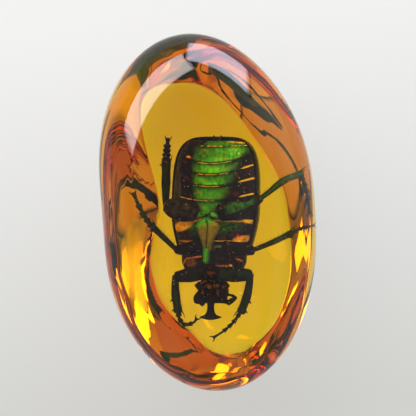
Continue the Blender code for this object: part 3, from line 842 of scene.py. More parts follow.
def belly_look(place, y, facing, palette):
    """Tint and metal share of the belly: green with a painted highlight, flanks in painted shade and brown,
    golden seams.
    """
    x = place.x
    left, right = at(BELLY_GREEN, y)
    green = smoothstep(left - GREEN_LEFT_FADE, left + GREEN_LEFT_FADE, x)
    green *= 1 - smoothstep(right - GREEN_RIGHT_FADES[0], right + GREEN_RIGHT_FADES[1], x)
    green *= 1 - smoothstep(*GREEN_TAIL, y)
    # Painted highlight: the green brightens toward the middle of its field
    middle = 1 - min(abs(x - (left + right) / 2) / BELLY_MIDDLE, 1)
    streak = 0.0
    for across, along, seed, strength in BELLY_STREAKS:
        streak += strength * grime((x * across, place.y * along, 0), 1.0, seed)
    everywhere, by_middle, by_streak = BELLY_LIGHT
    light = min(1, max(0, everywhere + by_middle * middle + by_streak * streak))
    lit = blend(palette.deep_green, palette.green, light)
    lit = blend(lit, palette.olive, 0.55 * patches((x * 1.6, place.y * 1.2, 0), "belly_olive"))
    # Painted shade on the flanks outside the green field, broken by their own brown
    flank = blend(palette.black, palette.brown, patches(place, "flank_brown"))
    look = blend(flank, lit, green), GREEN_METAL * green
    for seam, gold, slit in zip(BELLY_SEAMS, SEAM_GOLD, SEAM_SLITS):
        look = seam_look(look, x, y - seam, seam, gold, slit, palette)
    colour, metal = stained_and_shaded(look, place, BELLY_MARKS, palette)
    rim = mark((x, y), *TAIL_RIM) * patches(place, "tail_rim")
    colour, metal = blend(colour, palette.gold, 0.8 * rim), metal * (1 - rim)
    # Painted shade: the skin darkens to black where it turns away from the belly's side
    return blend(palette.black, colour, smoothstep(*SHADE_FACING, facing)), metal * facing


def seam_look(look, x, behind, seam, gold, slit, palette):
    """Lay a seam's shade, fine golden line and golden slit over the belly's look."""
    colour, metal = look
    before, after = SEAM_SHADE
    shade = smoothstep(*before, behind) * (1 - smoothstep(*after, behind))
    colour = blend(colour, palette.black, 0.8 * shade)
    if gold[0] < x < gold[1]:
        fine = 1 - smoothstep(*SEAM_LINE, abs(behind))
        fine *= patches((x, seam, 0), "seam_gold")
        colour, metal = blend(colour, palette.gold, 0.8 * fine), metal * (1 - fine)
    if slit and slit[0] < x < slit[1]:
        start, end = slit
        ends = smoothstep(start, start + SLIT_ENDS[0], x) * (1 - smoothstep(end - SLIT_ENDS[1], end, x))
        gape = 1 - smoothstep(*SLIT_EDGE, abs(behind - SLIT_MIDDLE) / max(ends, 0.2))
        gape *= min(1, ends * 3)
        colour, metal = blend(colour, palette.glow, gape), metal * (1 - gape)
    return colour, metal


def chest_section(y):
    """Half width, height, depth and squareness of the hind chest."""
    half_width = wing_case_half_width(y) - BODY_INSET
    depth = max(back_depth(y) - BODY_INSET, LEAST_DEPTH)
    return half_width, at(CHEST_HEIGHTS, y)[0], depth, CHEST_SQUARENESS


def breastplate(x, y):
    """How far inside the arrow-shaped breastplate a place lies, and how far from its middle line."""
    middle, half_width = at(ARROW, y)
    aside = abs(x - middle)
    return min(half_width - aside, BROW_Y - BROW_FALL * aside - y), aside


def plate_groove(y):
    """Share of the groove down the breastplate's middle, which fades at both ends."""
    front, back = MIDDLE_GROOVE_ENDS
    return smoothstep(*front, y) * smoothstep(*back, y)


def leg_roots():
    """Middles and turns of the two small plates that the hind legs grow from."""
    aside, y = LEG_ROOT_PLACE
    return [((side * aside + LEG_ROOT_SHIFT, y), side * -LEG_ROOT_TURN) for side in (-1, 1)]


def chest_shape(x, y):
    """Relief of the chest: arrow-shaped plate, its groove, side plates and hollows."""
    inside, aside = breastplate(x, y)
    relief = PLATE_HEIGHT * smoothstep(*PLATE_EDGE, inside)
    relief -= MIDDLE_GROOVE_DEPTH * (1 - smoothstep(*MIDDLE_GROOVE_EDGE, aside)) * plate_groove(y)
    relief -= ROUND_GROOVE_DEPTH * (1 - smoothstep(0.0, ROUND_GROOVE_WIDTH, abs(inside + ROUND_GROOVE_OUT)))
    relief -= hollows(CHEST_HOLLOWS, x, y, 0.25)
    for centre, turn in leg_roots():
        relief += LEG_ROOT_HEIGHT * mark((x, y), centre, LEG_ROOT, turn, 0.25)
    return 0.0, relief + smoothstep(*BESIDE_PLATE, inside) * uneven(x, y, "chest")


def chest_look(place, y, facing, palette):
    """Tint and metal share of the chest: green and olive arrow, orange skin at the joints."""
    x = place.x
    inside, aside = breastplate(x, y)
    dark = blend(palette.black, palette.brown, patches(place, "chest_brown"))
    glow = sum(mark(place, centre, reach, turn, 0.9) for centre, reach, turn in CHEST_GLOWS)
    dark = blend(dark, palette.deep_green, 0.9 * min(glow, 1) * patches(place, "chest_green"))
    plate = palette.green
    for name, fade, slant, strength in PLATE_TINTS:
        plate = blend(plate, getattr(palette, name), strength * smoothstep(*fade, y + slant * x))
    edge = smoothstep(*PLATE_TINT_EDGE, inside)
    colour, metal = blend(dark, plate, edge), PLATE_METAL * edge
    for centre, turn in leg_roots():
        patch = mark(place, centre, LEG_ROOT_TINTED, turn, 0.3) * patches(place, "leg_root_green")
        colour, metal = blend(colour, palette.green, 0.75 * patch), max(metal, 0.6 * patch)
    wedge = smoothstep(*WEDGE_EDGE, (y - WEDGE_TIP[1]) * WEDGE_SLOPE - abs(x - WEDGE_TIP[0]))
    wedge *= 1 - mark(place, *WEDGE_HIDDEN)
    look = blend(colour, palette.green, wedge), max(metal, 0.6 * wedge)
    colour, metal = stained_and_shaded(look, place, CHEST_MARKS, palette, 0.3, "chest_stains")
    line = 1 - smoothstep(0.0, ROUND_LINE_WIDTH, abs(inside + ROUND_GROOVE_OUT))
    groove = (1 - smoothstep(*MIDDLE_LINE_EDGE, aside)) * plate_groove(y)
    cut = max(line * smoothstep(*ROUND_LINE_FRONT, y), groove)
    colour, metal = blend(colour, palette.black, 0.95 * cut), metal * (1 - cut)
    # Painted shade: the skin darkens to black where it turns away from the belly's side
    return blend(palette.black, colour, smoothstep(*SHADE_FACING, facing)), metal * facing


def collar_shape(x, y):
    """Relief of the collar: uneven hollows where the front legs fold in."""
    return 0.0, uneven(x, y, "collar") - hollows(COLLAR_HOLLOWS, x, y, 0.3)


def collar_look(place, y, facing, palette):
    """Tint of the collar: black with thin brown windows and orange flecks."""
    colour = blend(palette.black, palette.brown, 0.8 * patches(place, "thin_brown"))
    colour = stained_and_shaded((colour, 0), place, COLLAR_MARKS, palette, cloud="collar_stains")[0]
    # Painted shade: the skin darkens to black where it turns away from the belly's side
    return blend(palette.black, colour, smoothstep(*SHADE_FACING, facing)), 0.1


def head_shape(x, y):
    """Relief of the head: hollowed cheeks and fine grain."""
    return 0.0, uneven(x, y, "head") - CHEEK_DEPTH * mark((abs(x), y), *CHEEK, soft=0.4)


def head_look(place, y, facing, palette):
    """Tint of the head: black with golden brown flecks at the mouth parts."""
    fleck = patches(place, "head_flecks") * mark(place, (0.3, -14.8), (2.6, 2.4), soft=0.5)
    colour = blend(palette.black, palette.amber_brown, fleck)
    colour = stained_and_shaded((colour, 0), place, HEAD_MARKS, palette, cloud="head_stains")[0]
    # Painted shade: the skin darkens to black where it turns away from the belly's side
    return blend(palette.black, colour, smoothstep(*HEAD_SHADE_FACING, facing)), 0.05


def across_limb(along):
    """Direction across a limb, level with the flat back."""
    return along.cross(Vector((0, 0, 1))).normalized()


def rounded(stations):
    """Close a limb's stations with rounded ends."""
    closed = []
    for order in (stations, stations[::-1]):
        (point, wide, deep), after = order[0], order[1][0]
        away = (point - after).normalized()
        cap = []
        for share in END_SHARES:
            reach = math.sqrt(1 - share**2) * deep * END_REACH
            cap.append((point + away * reach, wide * share, deep * share))
        closed.append(cap)
    return closed[0] + stations + closed[1][::-1]


def add_limb(skin, stations, look, count, edge=0.0):
    """Skin a limb along stations of place, half width and half depth."""
    rows = []
    last = len(stations) - 1
    for index, (point, wide, deep) in enumerate(stations):
        along = (stations[min(index + 1, last)][0] - stations[max(index - 1, 0)][0]).normalized()
        side = across_limb(along)
        over = side.cross(along)
        row = []
        for angle in turns(count):
            swell = 1 + edge * math.cos(4 * angle)
            place = point + (side * math.cos(angle) * wide + over * math.sin(angle) * deep) * swell
            row.append(skin.point(place, look(place, index / last, angle)))
        rows.append(row)
    join_rows(skin.form, rows, capped=True)


def add_spine(skin, root, tip, radius, look, bend=Vector((0, 0, 0)), count=6, steps=5):
    """A tapering spine, spur, claw or hair, with a little bend."""
    root, tip = Vector(root), Vector(tip)
    stations = []
    for step in range(steps + 1):
        share = step / steps
        point = root.lerp(tip, share) + bend * math.sin(math.pi * share)
        size = radius * ((1 - share) ** 0.7 + 0.08)
        stations.append((point, size, size))
    add_limb(skin, stations, look, count)


def span_stations(route, steps, flat, bulge):
    """Smooth stations along a span's route, flattened toward the camera's side, with its bulge."""
    stations = []
    points = through(route, steps)
    for index, (x, y, z, radius) in enumerate(points):
        size = radius * bulge(index / (len(points) - 1))
        stations.append((Vector((x, y, z)), size, size * flat))
    return stations


def even(size):
    """A bulge that is the same all along a span."""
    return lambda share: size


def beaded(least, more):
    """A bulge with three beads along a span."""
    return lambda share: least + more * abs(math.sin(3 * math.pi * share))


def leaf_stations(base, tip, wide, narrow, power, flat):
    """Stations of a leaf or an eye, which bulges in the middle and narrows to both ends."""
    stations = []
    for step in range(LEAF_ROWS + 1):
        share = step / LEAF_ROWS
        size = wide * math.sin(math.pi * (narrow + 0.8 * share)) ** power
        stations.append((base + (tip - base) * share, size, size * flat))
    return stations


def station_at(stations, share):
    """Place, direction and half width at a share of a limb's length."""
    index = min(int(share * (len(stations) - 1)), len(stations) - 2)
    rest = share * (len(stations) - 1) - index
    here, there = stations[index], stations[index + 1]
    return here[0].lerp(there[0], rest), (there[0] - here[0]).normalized(), here[1]


def outer_side(stations):
    """Sign of the side of a limb that faces away from the body's middle line."""
    middle = stations[len(stations) // 2][0]
    side = (stations[-1][0] - stations[0][0]).cross(Vector((0, 0, 1)))
    return 1 if side.x * (middle.x - BEETLE_CENTRE.x) > 0 else -1


def add_hairs(skin, stations, side_sign, settings, look, seed, reach=(0.1, 0.95), length=0.8):
    """A fringe of fine hairs along one edge of a limb."""
    draw = random.Random(seed)
    for number in range(settings.hairs):
        share = reach[0] + (reach[1] - reach[0]) * (number + draw.random()) / settings.hairs
        place, along, wide = station_at(stations, share)
        side = across_limb(along) * side_sign
        root = place + side * wide * HAIR_ROOT + Vector((0, 0, draw.uniform(-HAIR_RISE, HAIR_RISE)))
        way = side + along * draw.uniform(*HAIR_LEAN_ALONG)
        way += Vector((0, 0, draw.uniform(-HAIR_LEAN, HAIR_LEAN)))
        tip = root + way.normalized() * length * draw.uniform(*HAIR_LENGTHS)
        add_spine(skin, root, tip, settings.hair_radius, look, along * HAIR_BEND, count=3, steps=2)


def plain_look(colour):
    """A look that is the same all over."""
    return lambda place, share, angle: (colour, 0.0)


def leg_look(name, part, palette):
    """Tint of a limb's part: black, with painted green gleams and amber knees on its upper side, where the
    real one shows them.
    """

    def look(place, share, angle):
        colour = blend(palette.black, palette.brown, 0.5 * patches(place, "leg_brown"))
        # Painted sheen: gleams are laid on the upper side, which faces the light
        top = smoothstep(0.35, 0.95, math.sin(angle))
        gleam = 0.0
        if (name, part) == ("leg_hind_right", "thigh"):
            gleam = mark((share, 0), (0.47, 0), (0.27, 1))
            gleam *= mark((math.cos(angle), 0), (-0.12, 0), (0.42, 1))
            gleam *= top * patches((place.x * 1.5 - place.y, place.y, 0), "thigh_green")
            return blend(colour, palette.green, 0.5 * gleam), LIMB_METAL + 0.4 * gleam
        if (name, part) == ("leg_hind_right", "shin"):
            gleam = 0.7 * smoothstep(0.8, 0.97, math.sin(angle))
        elif part == "shin":
            gleam = 0.12 * top
        elif (name, part) == ("leg_hind_left", "thigh"):
            # Painted sheen: blue-grey on the upper side of the hind left thigh
            colour = blend(colour, palette.slate_sheen_and_shade, 0.85 * top * patches(place, "thigh_slate"))
        elif (name, part) == ("leg_front_right", "thigh"):
            gleam = 0.2 * top * patches(place, "front_thigh_green")
        colour = blend(colour, palette.deep_green, gleam)
        # The knee's own amber, golden on the middle right leg, laid only on its upper side as painted light
        if part == "thigh":
            bright = palette.gold if name == "leg_middle_right" else palette.amber_brown
            colour = blend(colour, bright, 0.7 * smoothstep(0.93, 1.0, share) * top)
        return colour, LIMB_METAL + 0.35 * gleam

    return look


def add_thigh(skin, route, look, wide):
    """A flat oval thigh."""
    stations = rounded(span_stations(route, SPAN_STEPS, THIGH_FLATNESS / wide, even(wide)))
    add_limb(skin, stations, look, count=28, edge=0.02)
    return stations


def add_shin(skin, route, look, front):
    """A ridged shin that widens to its tip, with teeth outside and two spurs at the end."""
    widen = 1.2 if front else 1.0

    def bulge(share):
        return widen * (0.78 + 0.22 * smoothstep(0.0, 0.35, share)) * (1 + 0.04 * math.sin(14 * share))

    stations = span_stations(route, SPAN_STEPS, 0.7, bulge)
    add_limb(skin, rounded(stations), look, count=16, edge=0.05)
    outer = outer_side(stations)
    for share in SHIN_TEETH if front else SHIN_TEETH[:1]:
        place, along, wide = station_at(stations, share)
        side = across_limb(along) * outer
        root = place + side * wide * 0.6
        tip = root + side * 0.75 + along * 0.5
        add_spine(skin, root, tip, SHIN_TOOTH_RADIUS, look, along * 0.05, count=8)
    place, along, wide = station_at(stations, 0.99)
    side = across_limb(along) * -outer
    for spread, length in SPURS:
        root = place + side * wide * spread
        tip = root + along * length + side * 0.55 * spread
        add_spine(skin, root, tip, SPUR_RADIUS, look, side * 0.1, count=7)
    return stations


def add_foot(skin, route, look, wide):
    """Five flared joints of a foot, with a forked pair of claws."""
    stations = span_stations(route, 10, FOOT_FLATNESS, even(wide))
    for near, far in zip(FOOT_JOINTS, FOOT_JOINTS[1:]):
        last = far == FOOT_JOINTS[-1]
        joint = []
        for step in range(JOINT_ROWS + 1):
            share = step / JOINT_ROWS
            place, along, size = station_at(stations, near + (far - near) * (0.04 + 0.92 * share))
            size *= 0.62 + 0.35 * smoothstep(0.55, 1.0, share) if last else 0.55 + 0.6 * share**1.4
            joint.append((place, size, size * FOOT_FLATNESS))
        add_limb(skin, rounded(joint), look, count=12)
        place, along, size = station_at(stations, far - 0.02)
        for side in (-across_limb(along), across_limb(along)):
            if last:
                root = place + side * size * 0.35
                tip = root + along * 0.75 + side * 0.34 - Vector((0, 0, 0.2))
                add_spine(skin, root, tip, CLAW_RADIUS, look, side * 0.2, count=8, steps=8)
            else:
                root = place + side * size * 0.7
                add_spine(skin, root, root + along * 0.42 + side * 0.3, JOINT_SPINE_RADIUS, look, count=5)


def wing_case_rings(side):
    """Sections of one wing case from the tail to the shoulder, as loops of x and z."""
    places = []
    for step in range(1, WING_TAIL_ROWS + 1):
        share = WING_TAIL_START + WING_TAIL_REACH * step / WING_TAIL_ROWS
        places.append(TAIL_Y * (1 - share**TAIL_SQUARENESS) ** (1 / TAIL_SQUARENESS))
    places += even_places(places[-1], SHOULDER_Y, WING_ROWS)[1:]
    rings = []
    for y in places:
        half_width, depth = wing_case_half_width(y), max(back_depth(y), WING_LEAST_DEPTH)
        outer, inner = [], []
        for step in range(WING_COLUMNS + 1):
            angle = math.pi / 2 * step / WING_COLUMNS
            across = math.cos(angle) ** (2 / WING_SQUARENESS)
            down = math.sin(angle) ** (2 / WING_SQUARENESS)
            x = SEAM_GAP + (half_width - SEAM_GAP) * across
            rib = RIB_DEPTH * (1 - abs(math.sin(math.pi * x / RIB_SPACING))) ** 4
            rib *= smoothstep(*RIB_FADES[0], across) * smoothstep(*RIB_FADES[1], down)
            outer.append((x, -(depth - rib) * down))
            x = SEAM_GAP + max(half_width - SEAM_GAP - WING_THICKNESS, 0.05) * across
            inner.append((x, -max(depth - WING_THICKNESS, 0.1) * down))
        roll = [(max(half_width - back, SEAM_GAP + 0.01 * n), z) for n, (back, z) in enumerate(WING_ROLL)]
        rings.append([Vector((side * x, y, z)) for x, z in outer + inner[::-1] + roll])
    return rings


def wing_case_form(side):
    """One hollow wing case: its shell, closed at both ends."""
    skin = Skin()
    rows = [[skin.form.verts.new(point) for point in ring] for ring in wing_case_rings(side)]
    join_rows(skin.form, rows)
    for row in (rows[0], rows[-1]):
        for step in range(WING_COLUMNS):
            other = 2 * WING_COLUMNS + 1 - step
            skin.form.faces.new((row[step], row[step + 1], row[other - 1], row[other]))
        skin.form.faces.new((row[0], *row[2 * WING_COLUMNS + 1 :]))
    return skin


def add_process(skin, palette):
    """The blunt green process that reaches forward from the breastplate."""
    rows = []
    for y, half_width, top in through(PROCESS, PROCESS_STEPS):
        row = []
        for angle in turns(PROCESS_COLUMNS):
            x = PROCESS_MIDDLE + half_width * signed_power(math.cos(angle), 2 / HORN_SQUARENESS)
            z = top - PROCESS_HEIGHT + signed_power(math.sin(angle), 2 / HORN_SQUARENESS) * PROCESS_HEIGHT
            shade = 0.5 * smoothstep(0.3, 0.6, abs(x - PROCESS_MIDDLE))
            look = blend(palette.green, palette.deep_green, shade), PLATE_METAL
            row.append(skin.point((x, y, z), look))
        rows.append(row)
    join_rows(skin.form, rows, capped=True)


def mirrored(place, side):
    """A place of the right side, or its mirror image on the left."""
    return Vector((side * place[0], *place[1:]))


def add_head_parts(skin, palette):
    """Eyes, cheek lobes, feelers of the mouth and the flared horn."""

    def dark(place, share, angle):
        return blend(palette.black, palette.brown, 0.15 * patches(place, "thin_brown")), 0.0

    def palp(place, share, angle):
        return blend(palette.black, palette.amber_brown, 0.2 + 0.15 * math.sin(12 * share)), 0.0

    eye = plain_look(blend(palette.black, palette.brown, 0.7))
    for side, lobe in zip((-1, 1), CHEEK_LOBES):
        centre = mirrored(EYE_CENTRE, side)
        reach = mirrored(EYE_AXIS, side) * EYE_HALF_LENGTH
        ball = leaf_stations(centre - reach, centre + reach, **EYE)
        add_limb(skin, rounded(ball), eye, count=20)
        add_limb(skin, rounded(span_stations(lobe, 8, 0.7, even(1.0))), dark, count=16)
        feeler = [mirrored(point, side) for point in PALP]
        add_limb(skin, rounded(span_stations(feeler, 8, 0.9, beaded(0.8, 0.4))), palp, count=12)
    rows = []
    for y, half_width, half_depth in through(HORN, HORN_STEPS):
        row = []
        for angle in turns(HORN_COLUMNS):
            x = half_width * signed_power(math.cos(angle), 2 / HORN_SQUARENESS)
            z = HORN_HEIGHT + half_depth * signed_power(math.sin(angle), 2 / HORN_SQUARENESS)
            place = Vector((x, y, z))
            row.append(skin.point(place, dark(place, 0, 0)))
        rows.append(row)
    join_rows(skin.form, rows, capped=True)


def girth_point(angle):
    """A point of the pebble's widest outline, by its angle from +X."""
    radius = HALF_LENGTH * HALF_WIDTH
    radius /= math.hypot(HALF_WIDTH * math.sin(angle), HALF_LENGTH * math.cos(angle))
    waves = SQUARE_WAVE * math.cos(4 * angle) + SQUARE_TURN * math.sin(4 * angle)
    radius *= 1 + waves + EGG_WAVE * math.cos(3 * angle)
    return Vector((radius * math.cos(angle) + GIRTH_SHIFT, radius * math.sin(angle)))


def local_share(angle, place, reach):
    """Share of something that is strongest at one angle round the pebble and fades beside it."""
    return math.exp(-((turn_from(angle, place) / reach) ** 2))


def foot_point(angle):
    """A point of the flat back's outline, by its angle from +X."""
    along = abs(math.sin(angle) / FOOT_HALF_LENGTH) ** FOOT_POWER
    across = abs(math.cos(angle) / FOOT_HALF_WIDTH) ** FOOT_POWER
    radius = (along + across) ** (-1 / FOOT_POWER)
    share = radius * math.sin(angle) / FOOT_HALF_LENGTH
    sideways = radius * math.cos(angle) * (1 + FOOT_EGG * share)
    sideways += FOOT_LEAN * share + FOOT_BEND * share**2
    size = 1 - FOOT_CUT * local_share(angle, FOOT_CUT_AT, FOOT_CUT_REACH)
    return Vector((sideways, radius * math.sin(angle))) * size + FOOT_CENTRE


def back_wear(angle):
    """How far the flat back's edge is worn up, by its angle from +X."""
    return BACK_WEAR * local_share(angle, BACK_WEAR_AT, BACK_WEAR_REACH)


def bevel_point(angle, rise):
    """A point of the bevel between the flat back and the girth, with the swells its polish left."""
    power = BEVEL_POWER + BEVEL_TILT * math.cos(angle - BEVEL_TILT_AT)
    power += BEVEL_OVAL * math.cos(2 * (angle - BEVEL_OVAL_AT))
    foot, girth = foot_point(angle), girth_point(angle)
    flat = foot + (girth - foot) * math.sin(rise) ** (2 / power)
    height = GIRTH_HEIGHT * (1 - math.cos(rise) ** (2 / power))
    swell = 0.0
    for place, level, reach, depth, size in SWELLS:
        swell += size * math.exp(-((turn_from(angle, place) / reach) ** 2) - ((rise - level) / depth) ** 2)
    around = Vector((math.cos(angle), math.sin(angle), 0)) * RIPPLES_ROUND / math.tau
    swell += RIPPLE * noise.noise(around + Vector((0, 0, rise * RIPPLES_UP)))
    swell *= math.sin(2 * rise)
    flat += (girth - foot).normalized() * swell
    height += back_wear(angle) * math.cos(rise) ** 2 - SWELL_DROP * swell
    return Vector((flat.x, flat.y, height))


def pebble_form(settings):
    """The pebble from the flat back up over the girth to the top of the dome."""
    angles = turns(settings.columns)
    rings = []
    for row in range(1, BACK_ROWS):
        share = row / BACK_ROWS
        ring = []
        for angle in angles:
            flat = FOOT_CENTRE + (foot_point(angle) - FOOT_CENTRE) * share
            ring.append(Vector((flat.x, flat.y, back_wear(angle) * share**BACK_WEAR_POWER)))
        rings.append(ring)
    for row in range(settings.bevel_rows + 1):
        rise = math.pi / 2 * row / settings.bevel_rows
        rings.append([bevel_point(angle, rise) for angle in angles])
    for row in range(1, settings.dome_rows):
        rise = math.pi / 2 * row / settings.dome_rows
        share = math.cos(rise) ** (2 / DOME_PLAN_POWER)
        height = math.sin(rise) ** (2 / DOME_HEIGHT_POWER)
        height = GIRTH_HEIGHT + (PEBBLE_HEIGHT - GIRTH_HEIGHT) * height
        rings.append([(girth_point(a) * share).to_3d() + Vector((0, 0, height)) for a in angles])
    form = bmesh.new()
    rows = [[form.verts.new(point) for point in ring] for ring in rings]
    join_rows(form, rows)
    close_fan(form, rows[0], form.verts.new((*FOOT_CENTRE, 0.0)))
    close_fan(form, rows[-1], form.verts.new((0.0, 0.0, PEBBLE_HEIGHT)))
    return form


def add_node(tree, kind, inputs=None, **settings):
    """Add a shader node with its own settings, and link or set its inputs."""
    made = tree.nodes.new(f"ShaderNode{kind}")
    for name, value in settings.items():
        setattr(made, name, value)
    for socket, value in (inputs or {}).items():
        if isinstance(value, bpy.types.NodeSocket):
            tree.links.new(value, made.inputs[socket])
        else:
            made.inputs[socket].default_value = value
    return made


def add_range(tree, value, old, new=(0, 1), **settings):
    """Map a value from one range onto another."""
    inputs = {"From Min": old[0], "From Max": old[1], "To Min": new[0], "To Max": new[1], "Value": value}
    return add_node(tree, "MapRange", inputs, **settings).outputs["Result"]


def add_ramp(tree, value, stops):
    """A colour that runs through stops of position and colour."""
    ramp = add_node(tree, "ValToRGB", {0: value})
    for index, (position, colour) in enumerate(stops):
        stop = ramp.color_ramp.elements[index] if index < 2 else ramp.color_ramp.elements.new(position)
        stop.position = position
        stop.color = (*colour, 1)
    return ramp.outputs[0]


def direction(azimuth, elevation):
    """A unit vector from angles in degrees."""
    turn, rise = math.radians(azimuth), math.radians(elevation)
    return Vector((math.cos(rise) * math.cos(turn), math.cos(rise) * math.sin(turn), math.sin(rise)))


def make_room(context, settings):
    """Even light of the room, with a soft glow from one side."""
    world = bpy.data.worlds.new("room")
    context.scene.world = world
    world.use_nodes = True
    tree = world.node_tree
    even_light = tree.nodes["Background"]
    place = add_node(tree, "TexCoord").outputs["Generated"]
    height = add_node(tree, "SeparateXYZ", {0: place}).outputs["Z"]
    tree.links.new(add_ramp(tree, height, ROOM_BANDS), even_light.inputs["Color"])
    cloud = add_node(tree, "TexNoise", {"Scale": ROOM_PATCHES, "Detail": 3, "Vector": place}).outputs["Fac"]
    levels = [settings.room_light * level for level in ROOM_PATCH_RANGE]
    tree.links.new(add_range(tree, cloud, ROOM_PATCH_NOISE, levels), even_light.inputs["Strength"])
    toward = add_node(tree, "VectorMath", {1: direction(*GLOW_TOWARD), 0: place}, operation="DOT_PRODUCT")
    spread = (math.cos(GLOW_REACH), 1)
    strength = add_range(
        tree, toward.outputs["Value"], spread, (0, settings.room_glow), interpolation_type="SMOOTHSTEP"
    )
    glow = add_node(tree, "Background", {"Strength": strength})
    both = add_node(tree, "AddShader", {0: even_light.outputs[0], 1: glow.outputs[0]})
    tree.links.new(both.outputs[0], tree.nodes["World Output"].inputs["Surface"])


def make_floor(settings):
    """A pale floor, darker toward the near side, with a warm shade below the pebble's far end."""
    bpy.ops.mesh.primitive_plane_add(size=FLOOR_SIZE, location=(0, 0, -FLOOR_DROP))
    floor = bpy.context.object
    floor.name = "floor"
    look = principled(
        "floor", Base_Color=(*settings.floor, 1), Roughness=0.9, Emission_Strength=settings.floor_glow
    )
    tree = look.node_tree
    place = add_node(tree, "TexCoord").outputs["Object"]
    along = add_node(tree, "SeparateXYZ", {0: place}).outputs["Y"]
    share = add_range(tree, along, (-FLOOR_REACH * MM, FLOOR_REACH * MM))
    around, below = (
        add_ramp(tree, share, [((y / FLOOR_REACH + 1) / 2, colour) for y, colour in stops])
        for stops in (FLOOR_SHADES, SHADES_BELOW)
    )
    scale = (1 / (BELOW_HALF_WIDTH * MM), 1 / (BELOW_HALF_LENGTH * MM), 0)
    oval = add_node(tree, "VectorMath", {1: scale, 0: place}, operation="MULTIPLY")
    distance = add_node(tree, "VectorMath", {0: oval.outputs["Vector"]}, operation="LENGTH")
    inside = add_range(tree, distance.outputs["Value"], BELOW_EDGE, interpolation_type="SMOOTHSTEP")
    glow = add_node(tree, "Mix", {"Factor": inside, "A": around, "B": below}, data_type="RGBA")
    tree.links.new(glow.outputs["Result"], tree.nodes["Principled BSDF"].inputs["Emission Color"])
    floor.data.materials.append(look)


def make_windows(settings):
    """Two windows beyond the pebble's far end, and three lamps kept out of its reflections."""
    for name, (azimuth, elevation, width, height, tint, strength, mirrored) in WINDOWS.items():
        toward = direction(azimuth, elevation)
        bpy.ops.mesh.primitive_plane_add(size=1, location=toward * WINDOW_DISTANCE)
        pane = bpy.context.object
        pane.name = name
        pane.scale = (width, height, 1)
        pane.rotation_euler = toward.to_track_quat("Z", "Y").to_euler()
        pane.data.materials.append(window_glow(name, settings.window_light * strength, tint))
        pane.visible_glossy = mirrored
        pane.visible_camera = False


def window_glow(name, radiance, tint):
    """Daylight that fades toward the pane's edges."""
    made = principled(name, Base_Color=(0, 0, 0, 1), Specular_IOR_Level=0.0, Emission_Color=(*tint, 1))
    tree = made.node_tree
    place = add_node(tree, "SeparateXYZ", {0: add_node(tree, "TexCoord").outputs["Object"]})
    fades = []
    for axis, most in (("X", radiance), ("Y", 1)):
        size = add_node(tree, "Math", {0: place.outputs[axis]}, operation="ABSOLUTE").outputs[0]
        edge = (0.5, 0.5 - WINDOW_SOFTNESS)
        fades.append(add_range(tree, size, edge, (0, most), interpolation_type="SMOOTHSTEP"))
    both = add_node(tree, "Math", {0: fades[0], 1: fades[1]}, operation="MULTIPLY")
    tree.links.new(both.outputs[0], tree.nodes["Principled BSDF"].inputs["Emission Strength"])
    return made


def make_camera(context, settings):
    """The photo's view, straight down on the dome."""
    camera = bpy.data.cameras.new("camera")
    holder = bpy.data.objects.new("camera", camera)
    context.scene.collection.objects.link(holder)
    x, y = CAMERA_POINT
    holder.location = (x * MM, y * MM, GIRTH_HEIGHT * MM + settings.camera_height)
    holder.rotation_euler = (0, 0, IMAGE_TURN)
    camera.sensor_width = SENSOR_WIDTH
    camera.lens = SENSOR_WIDTH * settings.camera_height / (IMAGE_PIXELS * PIXEL_SIZE * MM)
    camera.clip_start = CLIP_START
    context.scene.camera = holder


def principled(name, **values):
    """A material with a Principled shader and its plain socket values."""
    made = bpy.data.materials.new(name)
    made.use_nodes = True
    shader = made.node_tree.nodes["Principled BSDF"]
    for socket, value in values.items():
        shader.inputs[socket.replace("_", " ")].default_value = value
    return made


def clear_resin(settings):
    """Clear amber-coloured resin: plain transmission and absorption."""
    made = principled(
        "amber_resin",
        Base_Color=(1, 1, 1, 1),
        Roughness=settings.roughness,
        IOR=settings.ior,
        Transmission_Weight=1.0,
    )
    tree = made.node_tree
    volume = add_node(tree, "VolumeAbsorption", {"Color": (*settings.tint, 1), "Density": settings.density})
    tree.links.new(volume.outputs[0], tree.nodes["Material Output"].inputs["Volume"])
    return made


def horny_skin(name):
    """Beetle skin: its tint and metal share from the mesh, with pits, pale specks and cloudy gloss."""
    roughness, grain, depth, gloss = SKINS[name]
    made = principled(name, IOR=SKIN_IOR, Specular_IOR_Level=gloss)
    tree = made.node_tree
    place = add_node(tree, "TexCoord").outputs["Object"]
    tint = add_node(tree, "Attribute", attribute_name="tint").outputs["Color"]
    metal = add_node(tree, "Attribute", attribute_name="metal").outputs["Fac"]
    scale = 1 / (grain * CLOUD_PITS * MM)
    cloud = add_node(tree, "TexNoise", {"Scale": scale, "Detail": 5, "Vector": place}).outputs["Fac"]
    shade = add_range(tree, cloud, (0, 1), CLOUD_TINTS)
    tint = add_node(tree, "VectorMath", {0: tint, "Scale": shade}, operation="SCALE").outputs["Vector"]
    speck_cells = add_node(tree, "TexVoronoi", {"Scale": 1 / (PALE_SPECK_SPACING * MM), "Vector": place})
    speck = add_range(tree, speck_cells.outputs["Distance"], PALE_SPECK_EDGE)
    specked = add_node(tree, "Mix", {"B": PALE_SPECK, "Factor": speck, "A": tint}, data_type="RGBA")
    blur = add_range(tree, cloud, (0, 1), [roughness + more for more in CLOUD_BLURS])
    pits = add_node(tree, "TexVoronoi", {"Scale": 1 / (grain * MM), "Vector": place})
    dent = add_range(tree, pits.outputs["Distance"], (0, PIT_REACH))
    bump = add_node(tree, "Bump", {"Strength": PIT_STRENGTH, "Distance": depth * MM, "Height": dent})
    shader = tree.nodes["Principled BSDF"]
    sockets = {
        "Base Color": specked.outputs["Result"],
        "Metallic": metal,
        "Roughness": blur,
        "Normal": bump.outputs["Normal"],
    }
    for socket, value in sockets.items():
        tree.links.new(value, shader.inputs[socket])
    return made


